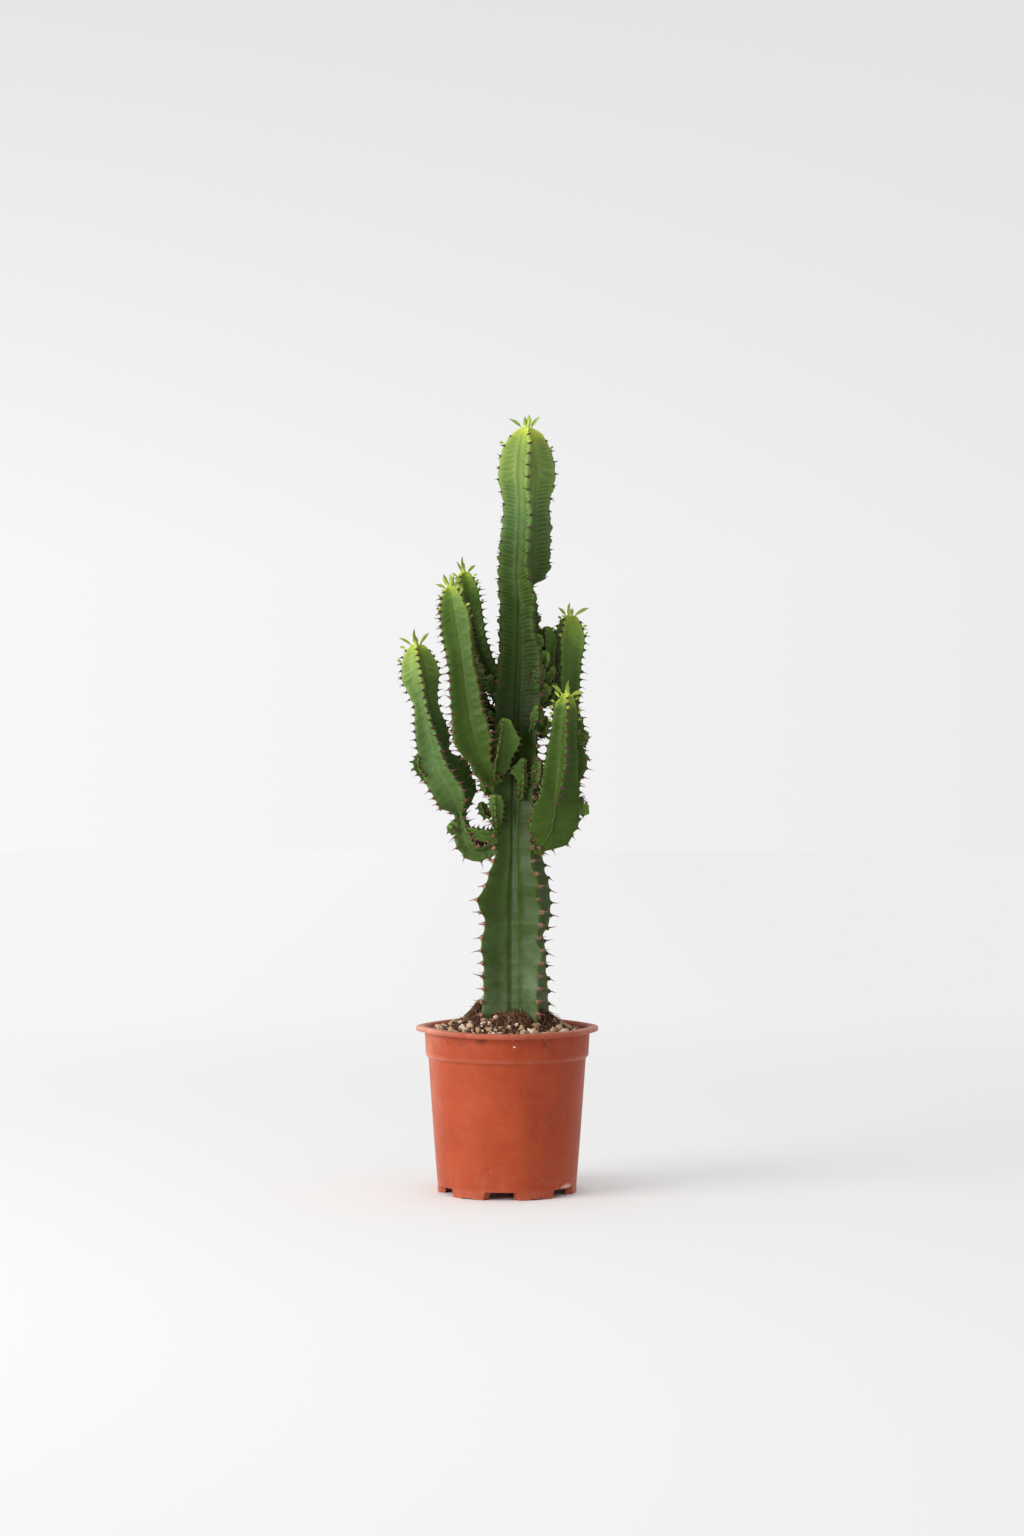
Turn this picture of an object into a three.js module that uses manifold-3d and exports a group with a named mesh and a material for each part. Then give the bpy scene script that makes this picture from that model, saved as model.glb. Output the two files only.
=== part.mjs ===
// A four-angled tree euphorbia with five branches, in a moulded nursery pot.
//
// Millimetres, +Z up. The pot stands on Z = 0 and the whole plant is centred on the origin in X and Y.
// Azimuths are degrees round a stem: 0 is the front (-Y), 90 is the right (+X).
//
// Every stem is one skin: a section with four thin ribs, carried along a smooth centreline. A shoot is
// rooted in the stem that bears it, and is then cut back to leave a joint gap. Heights are worked out
// from the soil, so the plant follows the pot.

import * as THREE from "three";
import { mergeVertices } from "three/addons/utils/BufferGeometryUtils.js";
import Module from "manifold-3d";

const wasm = await Module();
wasm.setup();

// ---------------------------------------------------------------- driving dimensions, mm
const POT = {
  rimRadius: 85, // outside of the lip
  height: 153.2,
  wall: 1.5,
  lipWidth: 8, // how far the lip stands out from the collar
  lipDepth: 5,
  collarHeight: 27, // from the step up to the lip's top
  collarStep: 2.4, // how much wider the collar is than the body below it
  footRadius: 64.5, // outside of the foot ring
  footRingWidth: 6,
  floorHeight: 7.5, // underside of the floor above the ground
  floorThickness: 1.6,
  footCount: 6,
  notchAngle: 31, // degrees of the foot ring's outside that a notch takes at the ground
  notchSlope: 1.9, // degrees a notch loses on each side, from the ground to its roof
  notchFlare: 3.6, // degrees a notch loses on each side, from the outside of the foot ring to its inside
  notchTurn: 25.4, // azimuth of the first foot's middle
  padReliefAngle: 10, // degrees of shallow relief under the middle of each foot
  padReliefDepth: 1.2,
  drainRadius: 5,
  drainRing: 46, // radius of the circle of drain holes
};
const SOIL = {
  wallClearance: 0.3,
  belowRim: 5.7, // soil's edge under the lip's top
  moundHeight: 21, // how far the mound rises from the soil's edge to the stem
  moundRadius: 20,
};
const STEM_HEIGHT = 540; // main stem above the mound's crown
const STEM_BURIED = 34; // foot of the main stem below the crown
const STEM_GIRTH = 1; // multiplies every rib of the main stem
const SHOOT_GIRTH = 1; // multiplies every rib of the branches and offsets
const RIB_COUNT = 4;
const DOME_SLENDERNESS = 1.9; // length of a tip's dome, as a multiple of its widest rib
const RIB_EDGE = 1.5; // half the thickness of a rib's edge
const JOINT_GAP = 0.3; // between pieces that grow on, or rest on, one another
const LEAF_THICKNESS = 1.1;
const PUMICE_SINK = 0.35; // share of a stone's radius that is bedded in the soil

// ---------------------------------------------------------------- derived places
const crown = POT.height - SOIL.belowRim + SOIL.moundHeight; // soil's level at the stem
const rad = THREE.MathUtils.degToRad;

// ---------------------------------------------------------------- small helpers
// Reads a list of [share, value] at a share, with a smooth step from each entry to the next.
function along(list, share) {
  if (share <= list[0][0]) return list[0][1];
  for (let i = 1; i < list.length; i++) {
    const [from, a] = list[i - 1];
    const [to, b] = list[i];
    if (share <= to) {
      const u = (share - from) / (to - from);
      return a + (b - a) * u * u * (3 - 2 * u);
    }
  }
  return list[list.length - 1][1];
}

function toSolid(geometry) {
  const bare = geometry.clone();
  bare.deleteAttribute("normal");
  bare.deleteAttribute("uv");
  const merged = mergeVertices(bare, 1e-4);
  return new wasm.Manifold(
    new wasm.Mesh({
      numProp: 3,
      vertProperties: merged.attributes.position.array,
      triVerts: new Uint32Array(merged.index.array),
    }),
  );
}

function toGeometry(solid) {
  const mesh = solid.getMesh();
  const geometry = new THREE.BufferGeometry();
  geometry.setAttribute("position", new THREE.BufferAttribute(mesh.vertProperties, mesh.numProp));
  geometry.setIndex(new THREE.BufferAttribute(mesh.triVerts, 1));
  geometry.computeVertexNormals();
  return geometry;
}

// The part of a solid that stays on the plant when a neighbour has been cut away from it.
function largest(solid) {
  const bodies = solid.decompose();
  return bodies.reduce((best, body) => (body.volume() > best.volume() ? body : best));
}

// A closed skin over rings of points, each ring the same length, with a middle point at either end.
function skin(rings, footCentre, tipCentre) {
  const around = rings[0].length;
  const points = [...rings.flat(), footCentre, tipCentre];
  const index = [];
  for (let i = 0; i + 1 < rings.length; i++)
    for (let j = 0; j < around; j++) {
      const a = i * around + j;
      const b = i * around + ((j + 1) % around);
      index.push(a, b, b + around, a, b + around, a + around);
    }
  const foot = rings.length * around;
  const last = (rings.length - 1) * around;
  for (let j = 0; j < around; j++) {
    const next = (j + 1) % around;
    index.push(next, j, foot, last + j, last + next, foot + 1);
  }
  const geometry = new THREE.BufferGeometry().setFromPoints(points);
  geometry.setIndex(index);
  return toSolid(geometry);
}

// ---------------------------------------------------------------- ribbed stems
// A centreline with a front direction at each station, carried down from the tip without twisting.
class Centreline {
  constructor(points) {
    this.curve = new THREE.CatmullRomCurve3(points, false, "catmullrom", 0.5);
    this.length = this.curve.getLength();
  }

  frames(shares) {
    const front = new THREE.Vector3(0, -1, 0);
    const frames = [];
    for (const share of shares.toReversed()) {
      const tangent = this.curve.getTangentAt(share);
      front.addScaledVector(tangent, -front.dot(tangent)).normalize();
      const right = new THREE.Vector3().crossVectors(tangent, front);
      frames.unshift({ share, centre: this.curve.getPointAt(share), front: front.clone(), right });
    }
    return frames;
  }

  // A point at a share of the length, so far out at an azimuth.
  pointAt(share, azimuth, out) {
    const steps = 40;
    const shares = Array.from({ length: steps + 1 }, (_, i) => share + ((1 - share) * i) / steps);
    const frame = this.frames(shares)[0];
    return frame.centre
      .clone()
      .addScaledVector(frame.front, out * Math.cos(rad(azimuth)))
      .addScaledVector(frame.right, out * Math.sin(rad(azimuth)));
  }
}

// Points of one section. From each rib's edge to the next the flank is a quadratic Bezier curve that
// passes through the furrow between them.
function section(frame, reaches, furrow, turn, edge, flankSteps) {
  const tips = reaches.map((reach, k) => {
    const angle = rad(turn + (360 / RIB_COUNT) * k);
    const out = new THREE.Vector2(Math.cos(angle), Math.sin(angle));
    const side = new THREE.Vector2(-out.y, out.x).multiplyScalar(edge);
    const tip = out.clone().multiplyScalar(reach);
    return { before: tip.clone().sub(side), after: tip.clone().add(side) };
  });
  const ring = [];
  tips.forEach((tip, k) => {
    const next = tips[(k + 1) % RIB_COUNT];
    const angle = rad(turn + (360 / RIB_COUNT) * (k + 0.5));
    const low = new THREE.Vector2(Math.cos(angle), Math.sin(angle)).multiplyScalar(furrow);
    const middle = tip.after.clone().add(next.before).multiplyScalar(0.5);
    const control = low.multiplyScalar(2).sub(middle);
    const flank = new THREE.QuadraticBezierCurve(tip.after, control, next.before);
    ring.push(...flank.getPoints(flankSteps));
  });
  return ring.map((p) =>
    frame.centre.clone().addScaledVector(frame.front, p.x).addScaledVector(frame.right, p.y),
  );
}

// Shares of a stem's length where its rings lie: evenly up the body, then closing up round the dome.
function ringShares({ line, stations, domeLength, domeRings }) {
  const body = 1 - domeLength / line.length;
  const even = Array.from({ length: stations }, (_, i) => (body * i) / stations);
  const round = Array.from({ length: domeRings }, (_, i) => Math.sin((Math.PI / 2) * (i / domeRings)));
  return [...even, ...round.map((rise) => body + (1 - body) * rise)];
}

// The solid of one stem, with everything grown outwards by swell.
function stemSolid(stem, swell = 0) {
  const { line, domeLength } = stem;
  const rings = line.frames(ringShares(stem)).map((frame) => {
    const left = Math.min(((1 - frame.share) * line.length) / domeLength, 1);
    const dome = Math.sqrt(1 - (1 - left) ** 2);
    const reaches = stem.ribs.map((rib) => along(rib, frame.share) * stem.girth * dome + swell);
    const mean = reaches.reduce((sum, reach) => sum + reach, 0) / RIB_COUNT;
    const furrow = mean * stem.furrow + swell;
    const edge = stem.edge * Math.max(dome, 0.15) + swell;
    return section(frame, reaches, furrow, along(stem.turn, frame.share), edge, stem.flankSteps);
  });
  const foot = line.curve.getPointAt(0).addScaledVector(line.curve.getTangentAt(0), -swell);
  const tip = line.curve.getPointAt(1).addScaledVector(line.curve.getTangentAt(1), 0.3 + swell);
  return skin(rings, foot, tip);
}

// ---------------------------------------------------------------- how the plant grew
// ribs: reach of each rib as [share of the stem's length, mm], from the front one round to the right.
// turn: azimuth of the first rib as [share, degrees].
const mainStem = {
  name: "main_stem",
  lean: [
    [-0.063, 6.5, 0],
    [0.19, 6.5, 1],
    [0.4, 7.5, 1],
    [0.6, 10.5, 0],
    [0.8, 17, 0],
    [1, 18.6, 1],
  ], // share of the height, X, Y
  turn: [
    [0, 38],
    [0.34, 40],
    [0.62, 45],
    [0.7, 34],
    [0.77, 8],
    [1, 4],
  ],
  ribs: [
    [
      [0, 36], [0.125, 36], [0.15, 41], [0.172, 36], [0.22, 40], [0.243, 33], [0.262, 35], [0.31, 26],
      [0.5, 30], [0.61, 31], [0.69, 20], [0.74, 25], [0.86, 23], [0.93, 27],
    ],
    [
      [0, 42], [0.15, 39], [0.175, 34], [0.2, 43], [0.24, 45], [0.31, 34],
      [0.5, 26], [0.66, 22], [0.74, 14], [0.78, 24], [0.87, 22], [0.93, 27],
    ],
    [[0, 36], [0.24, 41], [0.31, 28], [0.5, 28], [0.71, 23], [0.86, 20], [0.93, 26]],
    [
      [0, 38], [0.13, 36], [0.168, 39], [0.197, 34], [0.235, 43], [0.277, 30], [0.31, 24],
      [0.5, 29], [0.71, 24], [0.8, 24], [0.87, 21], [0.93, 27],
    ],
  ],
  furrow: 0.46,
  stations: 40,
  flankSteps: 4,
};

// bearer: the stem it grows on, at a share of that stem's length, on an azimuth, so far out.
// path: the rest of the centreline, from the foot, in mm.
const level = (list) => list.map(([share, reach]) => [share, reach]);
const same = (reach) => [reach, reach, reach, reach].map(level);

const BRANCHES = [
  {
    name: "branch_left_outer",
    bearer: { stem: "main_stem", share: 0.325, azimuth: -50, out: 20 },
    path: [
      [-9, 3.5, -3],
      [-20, 4.5, -5],
      [-29, 6.5, 4],
      [-33.5, 7.5, 21],
      [-39, 8.5, 42],
      [-52, 8.5, 68],
      [-60.5, 6.5, 99],
      [-67.5, 4.5, 135],
      [-72.5, 2.5, 164],
      [-75.5, 1.5, 186],
    ],
    turn: [[0, 30], [0.35, 28], [0.55, 18], [0.8, 3], [1, 0]],
    ribs: [
      [[0, 8], [0.14, 11], [0.26, 6], [0.34, 20], [0.5, 19], [0.75, 12], [0.88, 17]],
      [[0, 8], [0.14, 11], [0.26, 6], [0.36, 26], [0.46, 28], [0.54, 14], [0.6, 17], [0.75, 12], [0.88, 18]],
      [[0, 8], [0.14, 11], [0.26, 6], [0.34, 18], [0.5, 17], [0.75, 12], [0.88, 16]],
      [[0, 8], [0.14, 12], [0.26, 6], [0.33, 19], [0.46, 19], [0.58, 17], [0.75, 12], [0.88, 18]],
    ],
    furrow: 0.45,
    stations: 24,
  },
  {
    name: "branch_left_front",
    bearer: { stem: "main_stem", share: 0.425, azimuth: -50, out: 22 },
    path: [
      [-7, -3.5, 7],
      [-15, -9.5, 22],
      [-23, -13.5, 47],
      [-28, -15.5, 79],
      [-33, -16.5, 118],
      [-39, -16.5, 157],
      [-43, -16.5, 181],
    ],
    turn: [[0, 40], [0.4, 46], [1, 44]],
    ribs: same([[0, 9], [0.14, 14], [0.27, 24], [0.42, 20], [0.64, 17], [0.84, 19], [1, 17]]),
    furrow: 0.5,
    stations: 18,
  },
  {
    name: "branch_left_back",
    bearer: { stem: "main_stem", share: 0.565, azimuth: -137, out: 22 },
    path: [
      [-4.5, 1, 9],
      [-13.5, 8, 24],
      [-22.5, 12, 47],
      [-28, 14, 72],
      [-32, 14, 94],
      [-35, 14, 117],
    ],
    turn: [[0, -15], [1, -25]],
    ribs: same([[0, 8], [0.2, 11], [0.5, 12], [0.75, 12.5], [0.9, 13]]),
    furrow: 0.46,
    stations: 14,
  },
  {
    name: "branch_right_back",
    bearer: { stem: "main_stem", share: 0.375, azimuth: 128, out: 26 },
    path: [
      [6, 1, 1],
      [20, 5, 12],
      [28, 6, 40],
      [29, 6, 73],
      [28, 5, 106],
      [29, 4, 143],
      [31, 3, 171],
      [31, 3, 186],
    ],
    turn: [[0, -20], [1, -30]],
    ribs: [
      [[0, 8], [0.2, 12], [0.4, 15], [0.65, 13.5], [0.9, 17]],
      [[0, 8], [0.2, 14], [0.3, 20], [0.42, 15], [0.48, 18], [0.56, 13], [0.7, 14], [0.9, 17]],
      [[0, 8], [0.2, 12], [0.4, 14], [0.65, 13], [0.9, 16]],
      [[0, 8], [0.2, 12], [0.4, 15], [0.65, 14], [0.9, 17]],
    ],
    furrow: 0.46,
    stations: 20,
  },
  {
    name: "branch_right_front",
    bearer: { stem: "main_stem", share: 0.328, azimuth: 40, out: 23 },
    path: [
      [6, -1.5, -4],
      [14, -6.5, 4],
      [20, -10.5, 20],
      [25, -13.5, 43],
      [28, -15.5, 73],
      [30.5, -16.5, 103],
      [32.5, -16.5, 127],
      [33, -16.5, 139],
    ],
    turn: [[0, 8], [0.6, 14], [1, 10]],
    ribs: [
      [[0, 4], [0.3, 7.5], [0.4, 12], [0.58, 15], [0.8, 11.5], [1, 11]],
      [[0, 4], [0.07, 7], [0.17, 21], [0.27, 24], [0.42, 20], [0.58, 16], [0.8, 12], [1, 11]],
      [[0, 4], [0.3, 9], [0.58, 13], [0.8, 11.5], [1, 11]],
      [[0, 4], [0.07, 7], [0.17, 20], [0.27, 22], [0.42, 18], [0.58, 16], [0.8, 12], [1, 11]],
    ],
    furrow: 0.42,
    stations: 20,
  },
];

const OFFSETS = [
  {
    name: "offset_ear",
    bearer: { stem: "main_stem", share: 0.432, azimuth: -48, out: 22 },
    path: [[-0.5, -8.5, 8], [2.5, -15.5, 26], [5.5, -17.5, 45], [6.5, -17.5, 56]],
    turn: [[0, -10], [1, -10]],
    ribs: [
      [[0, 6], [0.5, 12], [0.85, 10]],
      [[0, 6], [0.4, 12], [0.7, 17], [0.9, 12]],
      [[0, 6], [0.5, 7]],
      [[0, 6], [0.5, 10], [0.9, 8]],
    ],
    stations: 8,
  },
  {
    name: "offset_knuckle",
    bearer: { stem: "main_stem", share: 0.355, azimuth: -50, out: 21 },
    path: [[-0.5, -5, 8], [-1, -8, 19], [-1.5, -8, 30]],
    turn: [[0, 0], [1, 0]],
    ribs: [
      [[0, 4], [1, 5]],
      [[0, 4], [0.4, 6], [0.8, 8]],
      [[0, 4], [1, 5]],
      [[0, 4], [0.5, 5], [0.9, 8]],
    ],
    stations: 6,
  },
  {
    name: "offset_bridge",
    bearer: { stem: "main_stem", share: 0.34, azimuth: -50, out: 20 },
    path: [[-11, 0, 0], [-22, 2, 3], [-31, 4, 6]],
    turn: [[0, 40], [1, 40]],
    ribs: same([[0, 8], [0.5, 7], [1, 6]]),
    stations: 5,
  },
  {
    name: "offset_star",
    bearer: { stem: "branch_left_outer", share: 0.2, azimuth: -90, out: 5 },
    path: [[-4, -1, 3], [-9, -2, 7]],
    turn: [[0, 0], [1, 0]],
    ribs: same([[0, 4], [0.6, 6.5], [1, 6]]),
    stations: 5,
  },
  {
    name: "offset_hook",
    bearer: { stem: "branch_left_outer", share: 0.45, azimuth: -70, out: 12 },
    path: [[-5, 0, 1], [-10, 0, 6], [-13, 0, 14], [-11, 0, 24]],
    turn: [[0, 20], [1, 20]],
    ribs: same([[0, 3.5], [0.5, 4], [1, 4.5]]),
    stations: 8,
  },
  {
    name: "offset_sprout",
    bearer: { stem: "main_stem", share: 0.4, azimuth: 22, out: 13 },
    path: [[2, -6, 4], [3, -11, 20], [3, -13, 38]],
    turn: [[0, 10], [1, 10]],
    ribs: [
      [[0, 4], [1, 4.5]],
      [[0, 4], [1, 4.5]],
      [[0, 4], [1, 4]],
      [[0, 4], [0.45, 5], [0.75, 12], [0.95, 8]],
    ],
    stations: 8,
  },
  {
    name: "offset_nook",
    bearer: { stem: "main_stem", share: 0.42, azimuth: 40, out: 24 },
    path: [[2.5, 0, 2], [5.5, -2, 12], [6.5, -3, 26]],
    turn: [[0, 30], [1, 30]],
    ribs: same([[0, 5], [0.5, 6.5], [1, 6]]),
    stations: 6,
  },
  {
    name: "offset_pincer",
    bearer: { stem: "main_stem", share: 0.51, azimuth: 42, out: 26 },
    path: [[-0.5, 2, 3], [2.5, -1, 13], [2.5, -2, 24]],
    turn: [[0, 0], [1, 0]],
    ribs: same([[0, 4.5], [0.6, 6.5], [1, 6]]),
    stations: 6,
  },
  {
    name: "offset_tuft",
    bearer: { stem: "main_stem", share: 0.585, azimuth: 44, out: 27 },
    path: [[-1.5, 3.5, 2], [1.5, 2.5, 10], [1.5, 1.5, 20]],
    turn: [[0, 20], [1, 20]],
    ribs: same([[0, 4.5], [0.6, 6], [1, 6]]),
    stations: 6,
  },
  {
    name: "offset_shaded",
    bearer: { stem: "main_stem", share: 0.565, azimuth: 130, out: 20 },
    path: [[6.5, -2, 3], [12.5, -2, 20], [13.5, -3, 43], [12.5, -4, 66]],
    turn: [[0, -20], [1, -20]],
    ribs: same([[0, 6], [0.3, 8], [0.6, 7], [0.85, 9]]),
    stations: 9,
  },
  {
    name: "offset_lobe",
    bearer: { stem: "branch_right_back", share: 0.48, azimuth: 60, out: 8 },
    path: [[3, -2, -12], [6, -3, -12], [8, -3, -3]],
    turn: [[0, 30], [1, 30]],
    ribs: same([[0, 4], [0.5, 8], [1, 8]]),
    stations: 5,
  },
  {
    name: "offset_elbow",
    bearer: { stem: "branch_right_back", share: 0.2, azimuth: 60, out: 4 },
    path: [[6, -4, -12], [13, -8, -20], [20, -11, -20]],
    turn: [[0, 40], [1, 40]],
    ribs: same([[0, 5], [0.5, 8], [0.9, 10]]),
    stations: 7,
  },
  {
    name: "offset_inner_low",
    bearer: { stem: "main_stem", share: 0.535, azimuth: -137, out: 22 },
    path: [[-8, -6.5, 2], [-16, -9.5, 13], [-21, -11.5, 30], [-22, -12.5, 42]],
    turn: [[0, 0], [1, 0]],
    ribs: same([[0, 4], [0.5, 5], [1, 5]]),
    stations: 8,
  },
  {
    name: "offset_inner_high",
    bearer: { stem: "main_stem", share: 0.555, azimuth: -95, out: 11 },
    path: [[-7, -1, 3], [-11, -1, 14], [-14, -1, 26]],
    turn: [[0, 30], [1, 30]],
    ribs: same([[0, 4], [0.6, 6], [1, 5.5]]),
    stations: 6,
  },
];

// Young leaves round each growing tip: azimuth, lean from the stem's line in degrees, length, width.
const LEAVES = {
  main_stem: [
    [-80, 46, 17, 2.6], [-30, 6, 12, 2.6], [20, 4, 13.5, 3.2], [80, 30, 15, 3.0], [170, 15, 12, 2.6],
  ],
  branch_left_outer: [[-80, 42, 16, 2.0], [5, 2, 16, 3.6], [80, 36, 15, 2.4], [175, 20, 10, 2.4]],
  branch_left_front: [[-85, 48, 11, 2.4], [-35, 14, 14, 2.8], [20, 12, 13, 2.6], [80, 12, 12, 2.6]],
  branch_left_back: [[-60, 14, 13, 2.6], [10, 2, 16, 3.2], [90, 42, 11, 2.4], [180, 10, 13, 2.6]],
  branch_right_back: [[-85, 34, 12, 2.4], [0, 2, 13, 3.2], [85, 50, 17, 2.6], [160, 25, 10, 2.4]],
  branch_right_front: [[-80, 42, 14, 2.8], [15, 10, 14, 3.6], [85, 62, 12, 3.4], [170, 14, 11, 2.6]],
};
const LEAF_SEAT = 0.45; // share of a leaf's width by which it stands out from the tip's centre line

// Larger pumice stones on the soil: azimuth, distance from the pot's axis, radius.
const PUMICE = [
  [-62, 58, 4.2],
  [-38, 64, 3.6],
  [-12, 62, 4.4],
  [14, 60, 5.0],
  [33, 65, 4.6],
  [58, 62, 4.8],
  [150, 60, 4.4],
  [-130, 61, 4.6],
];

// ---------------------------------------------------------------- pot and soil
const innerFoot = POT.footRadius - POT.wall;
const collarTopRadius = POT.rimRadius - POT.lipWidth;
const collarFootRadius = collarTopRadius - 1.2; // draft of the collar
const bodyTopRadius = collarFootRadius - POT.collarStep;
const stepTop = POT.height - POT.collarHeight;
const stepFoot = stepTop - POT.collarStep;
const floorTop = POT.floorHeight + POT.floorThickness;

function lathe(profile, segments) {
  return toSolid(
    new THREE.LatheGeometry(
      profile.map(([radius, height]) => new THREE.Vector2(radius, height)),
      segments,
    ).rotateX(Math.PI / 2),
  );
}

// A wedge of a ring round an azimuth. half gives the angle that it takes on each side of its middle,
// from the radius and the height.
function wedge(middle, half, inner, outer, low, high) {
  const corner = (degrees, radius, height) =>
    new THREE.Vector3(radius * Math.sin(rad(degrees)), -radius * Math.cos(rad(degrees)), height);
  const ring = (height) => [
    corner(middle - half(inner, height), inner, height),
    corner(middle - half(outer, height), outer, height),
    corner(middle, outer, height),
    corner(middle + half(outer, height), outer, height),
    corner(middle + half(inner, height), inner, height),
    corner(middle, inner, height),
  ];
  const rings = [ring(low), ring(high)];
  const centre = (height) => corner(middle, (inner + outer) / 2, height);
  return skin(rings, centre(low), centre(high));
}

function potSolid() {
  const t = POT.wall;
  const lipFoot = POT.height - POT.lipDepth;
  const ringInner = POT.footRadius - POT.footRingWidth;
  const outside = [
    [ringInner, 0],
    [POT.footRadius, 0],
    [bodyTopRadius, stepFoot],
    [collarFootRadius, stepTop],
    [collarTopRadius, lipFoot],
    [POT.rimRadius - 0.8, lipFoot],
    [POT.rimRadius, lipFoot + 1],
    [POT.rimRadius, POT.height - 1.5],
    [POT.rimRadius - 1.4, POT.height],
  ];
  const inside = [
    [collarTopRadius + 0.9, POT.height],
    [collarTopRadius - t, POT.height - 1.6],
    [collarFootRadius - t, stepTop],
    [bodyTopRadius - t, stepFoot],
    [innerFoot, floorTop],
    [0, floorTop],
  ];
  const under = [
    [0, POT.floorHeight],
    [ringInner, POT.floorHeight],
    [ringInner, 0],
  ];
  let pot = lathe([...outside, ...inside, ...under], 54);
  const pitch = 360 / POT.footCount;
  const notchHalf = (radius, height) =>
    POT.notchAngle / 2 -
    (POT.notchSlope * height) / POT.floorHeight -
    (POT.notchFlare * (POT.footRadius - radius)) / POT.footRingWidth;
  const padHalf = () => POT.padReliefAngle / 2;
  for (let i = 0; i < POT.footCount; i++) {
    const foot = POT.notchTurn + pitch * i;
    const past = 3; // how far a cutter runs past what it cuts
    const [low, high] = [-past, POT.floorHeight];
    const [near, far] = [ringInner - past, POT.footRadius + past];
    pot = pot.subtract(wedge(foot + pitch / 2, notchHalf, near, far, low, high));
    pot = pot.subtract(wedge(foot, padHalf, near, far, low, POT.padReliefDepth));
    const drain = new THREE.CylinderGeometry(POT.drainRadius, POT.drainRadius, 4 * past, 12).rotateX(Math.PI / 2);
    drain.translate(
      POT.drainRing * Math.sin(rad(foot + pitch / 2)),
      -POT.drainRing * Math.cos(rad(foot + pitch / 2)),
      POT.floorHeight,
    );
    pot = pot.subtract(toSolid(drain));
  }
  return pot;
}

// Height of the soil's surface at a distance from the pot's axis: a flat crown, then a smooth slope.
const soilEdge = collarTopRadius - POT.wall - SOIL.wallClearance - 1.2;
function soilHeight(radius) {
  const u = THREE.MathUtils.clamp((radius - SOIL.moundRadius) / (soilEdge - SOIL.moundRadius), 0, 1);
  return crown - SOIL.moundHeight * (1 - (1 - u) ** 1.6);
}

function soilSolid() {
  const c = SOIL.wallClearance;
  const t = POT.wall;
  const surface = [];
  const rings = 6;
  for (let i = 0; i <= rings; i++) {
    const radius = soilEdge * (1 - i / rings);
    surface.push([radius, soilHeight(radius)]);
  }
  const profile = [
    [0, floorTop + c],
    [innerFoot - 2 * c, floorTop + c],
    [bodyTopRadius - t - 2 * c, stepFoot],
    [collarFootRadius - t - 2 * c, stepTop + c],
    ...surface,
  ];
  return lathe(profile, 36);
}

// ---------------------------------------------------------------- building
const materials = {
  pot: new THREE.MeshStandardMaterial({ color: 0xb5573a, roughness: 0.5, metalness: 0 }),
  soil: new THREE.MeshStandardMaterial({ color: 0x3a241a, roughness: 0.95, metalness: 0 }),
  pumice: new THREE.MeshStandardMaterial({ color: 0xd8c29c, roughness: 0.9, metalness: 0 }),
  stem: new THREE.MeshStandardMaterial({ color: 0x3f6426, roughness: 0.5, metalness: 0 }),
  leaf: new THREE.MeshStandardMaterial({ color: 0x9db52a, roughness: 0.5, metalness: 0 }),
};
const plant = new THREE.Group();
const placed = []; // { swollen } of what has been placed, for later pieces to be cut by

function meet(a, b) {
  const [p, q] = [a.boundingBox(), b.boundingBox()];
  return [0, 1, 2].every((k) => p.min[k] < q.max[k] && q.min[k] < p.max[k]);
}

// Cuts a solid back from what is already there, then adds it to the plant.
function place(name, solid, swollen, material) {
  let kept = solid;
  for (const other of placed) if (meet(kept, other)) kept = kept.subtract(other);
  kept = largest(kept);
  placed.push(swollen);
  const mesh = new THREE.Mesh(toGeometry(kept), materials[material]);
  mesh.name = name;
  plant.add(mesh);
  return kept;
}

const lines = new Map();

function completeStem(stem, points, girth) {
  const line = new Centreline(points);
  lines.set(stem.name, line);
  const widest = Math.max(...stem.ribs.map((rib) => along(rib, 0.93))) * girth;
  return {
    furrow: 0.5,
    flankSteps: 3,
    edge: RIB_EDGE,
    domeRings: 4,
    ...stem,
    line,
    girth,
    domeLength: Math.min(widest * DOME_SLENDERNESS, line.length * 0.4),
  };
}

function placeStem(stem) {
  return place(stem.name, stemSolid(stem), stemSolid(stem, JOINT_GAP), "stem");
}

const mainPoints = mainStem.lean.map(
  ([share, x, y]) => new THREE.Vector3(x, y, crown + (share < 0 ? -STEM_BURIED : share * STEM_HEIGHT)),
);
const main = completeStem(mainStem, mainPoints, STEM_GIRTH);
placeStem(main);

const OFFSET_SHAPE = { edge: RIB_EDGE * 0.7, flankSteps: 2, domeRings: 3 };
for (const shoot of [...BRANCHES, ...OFFSETS.map((offset) => ({ ...OFFSET_SHAPE, ...offset }))]) {
  const { stem, share, azimuth, out } = shoot.bearer;
  const foot = lines.get(stem).pointAt(share, azimuth, out);
  const points = [foot, ...shoot.path.map(([x, y, z]) => foot.clone().add(new THREE.Vector3(x, y, z)))];
  placeStem(completeStem(shoot, points, SHOOT_GIRTH));
}

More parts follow.
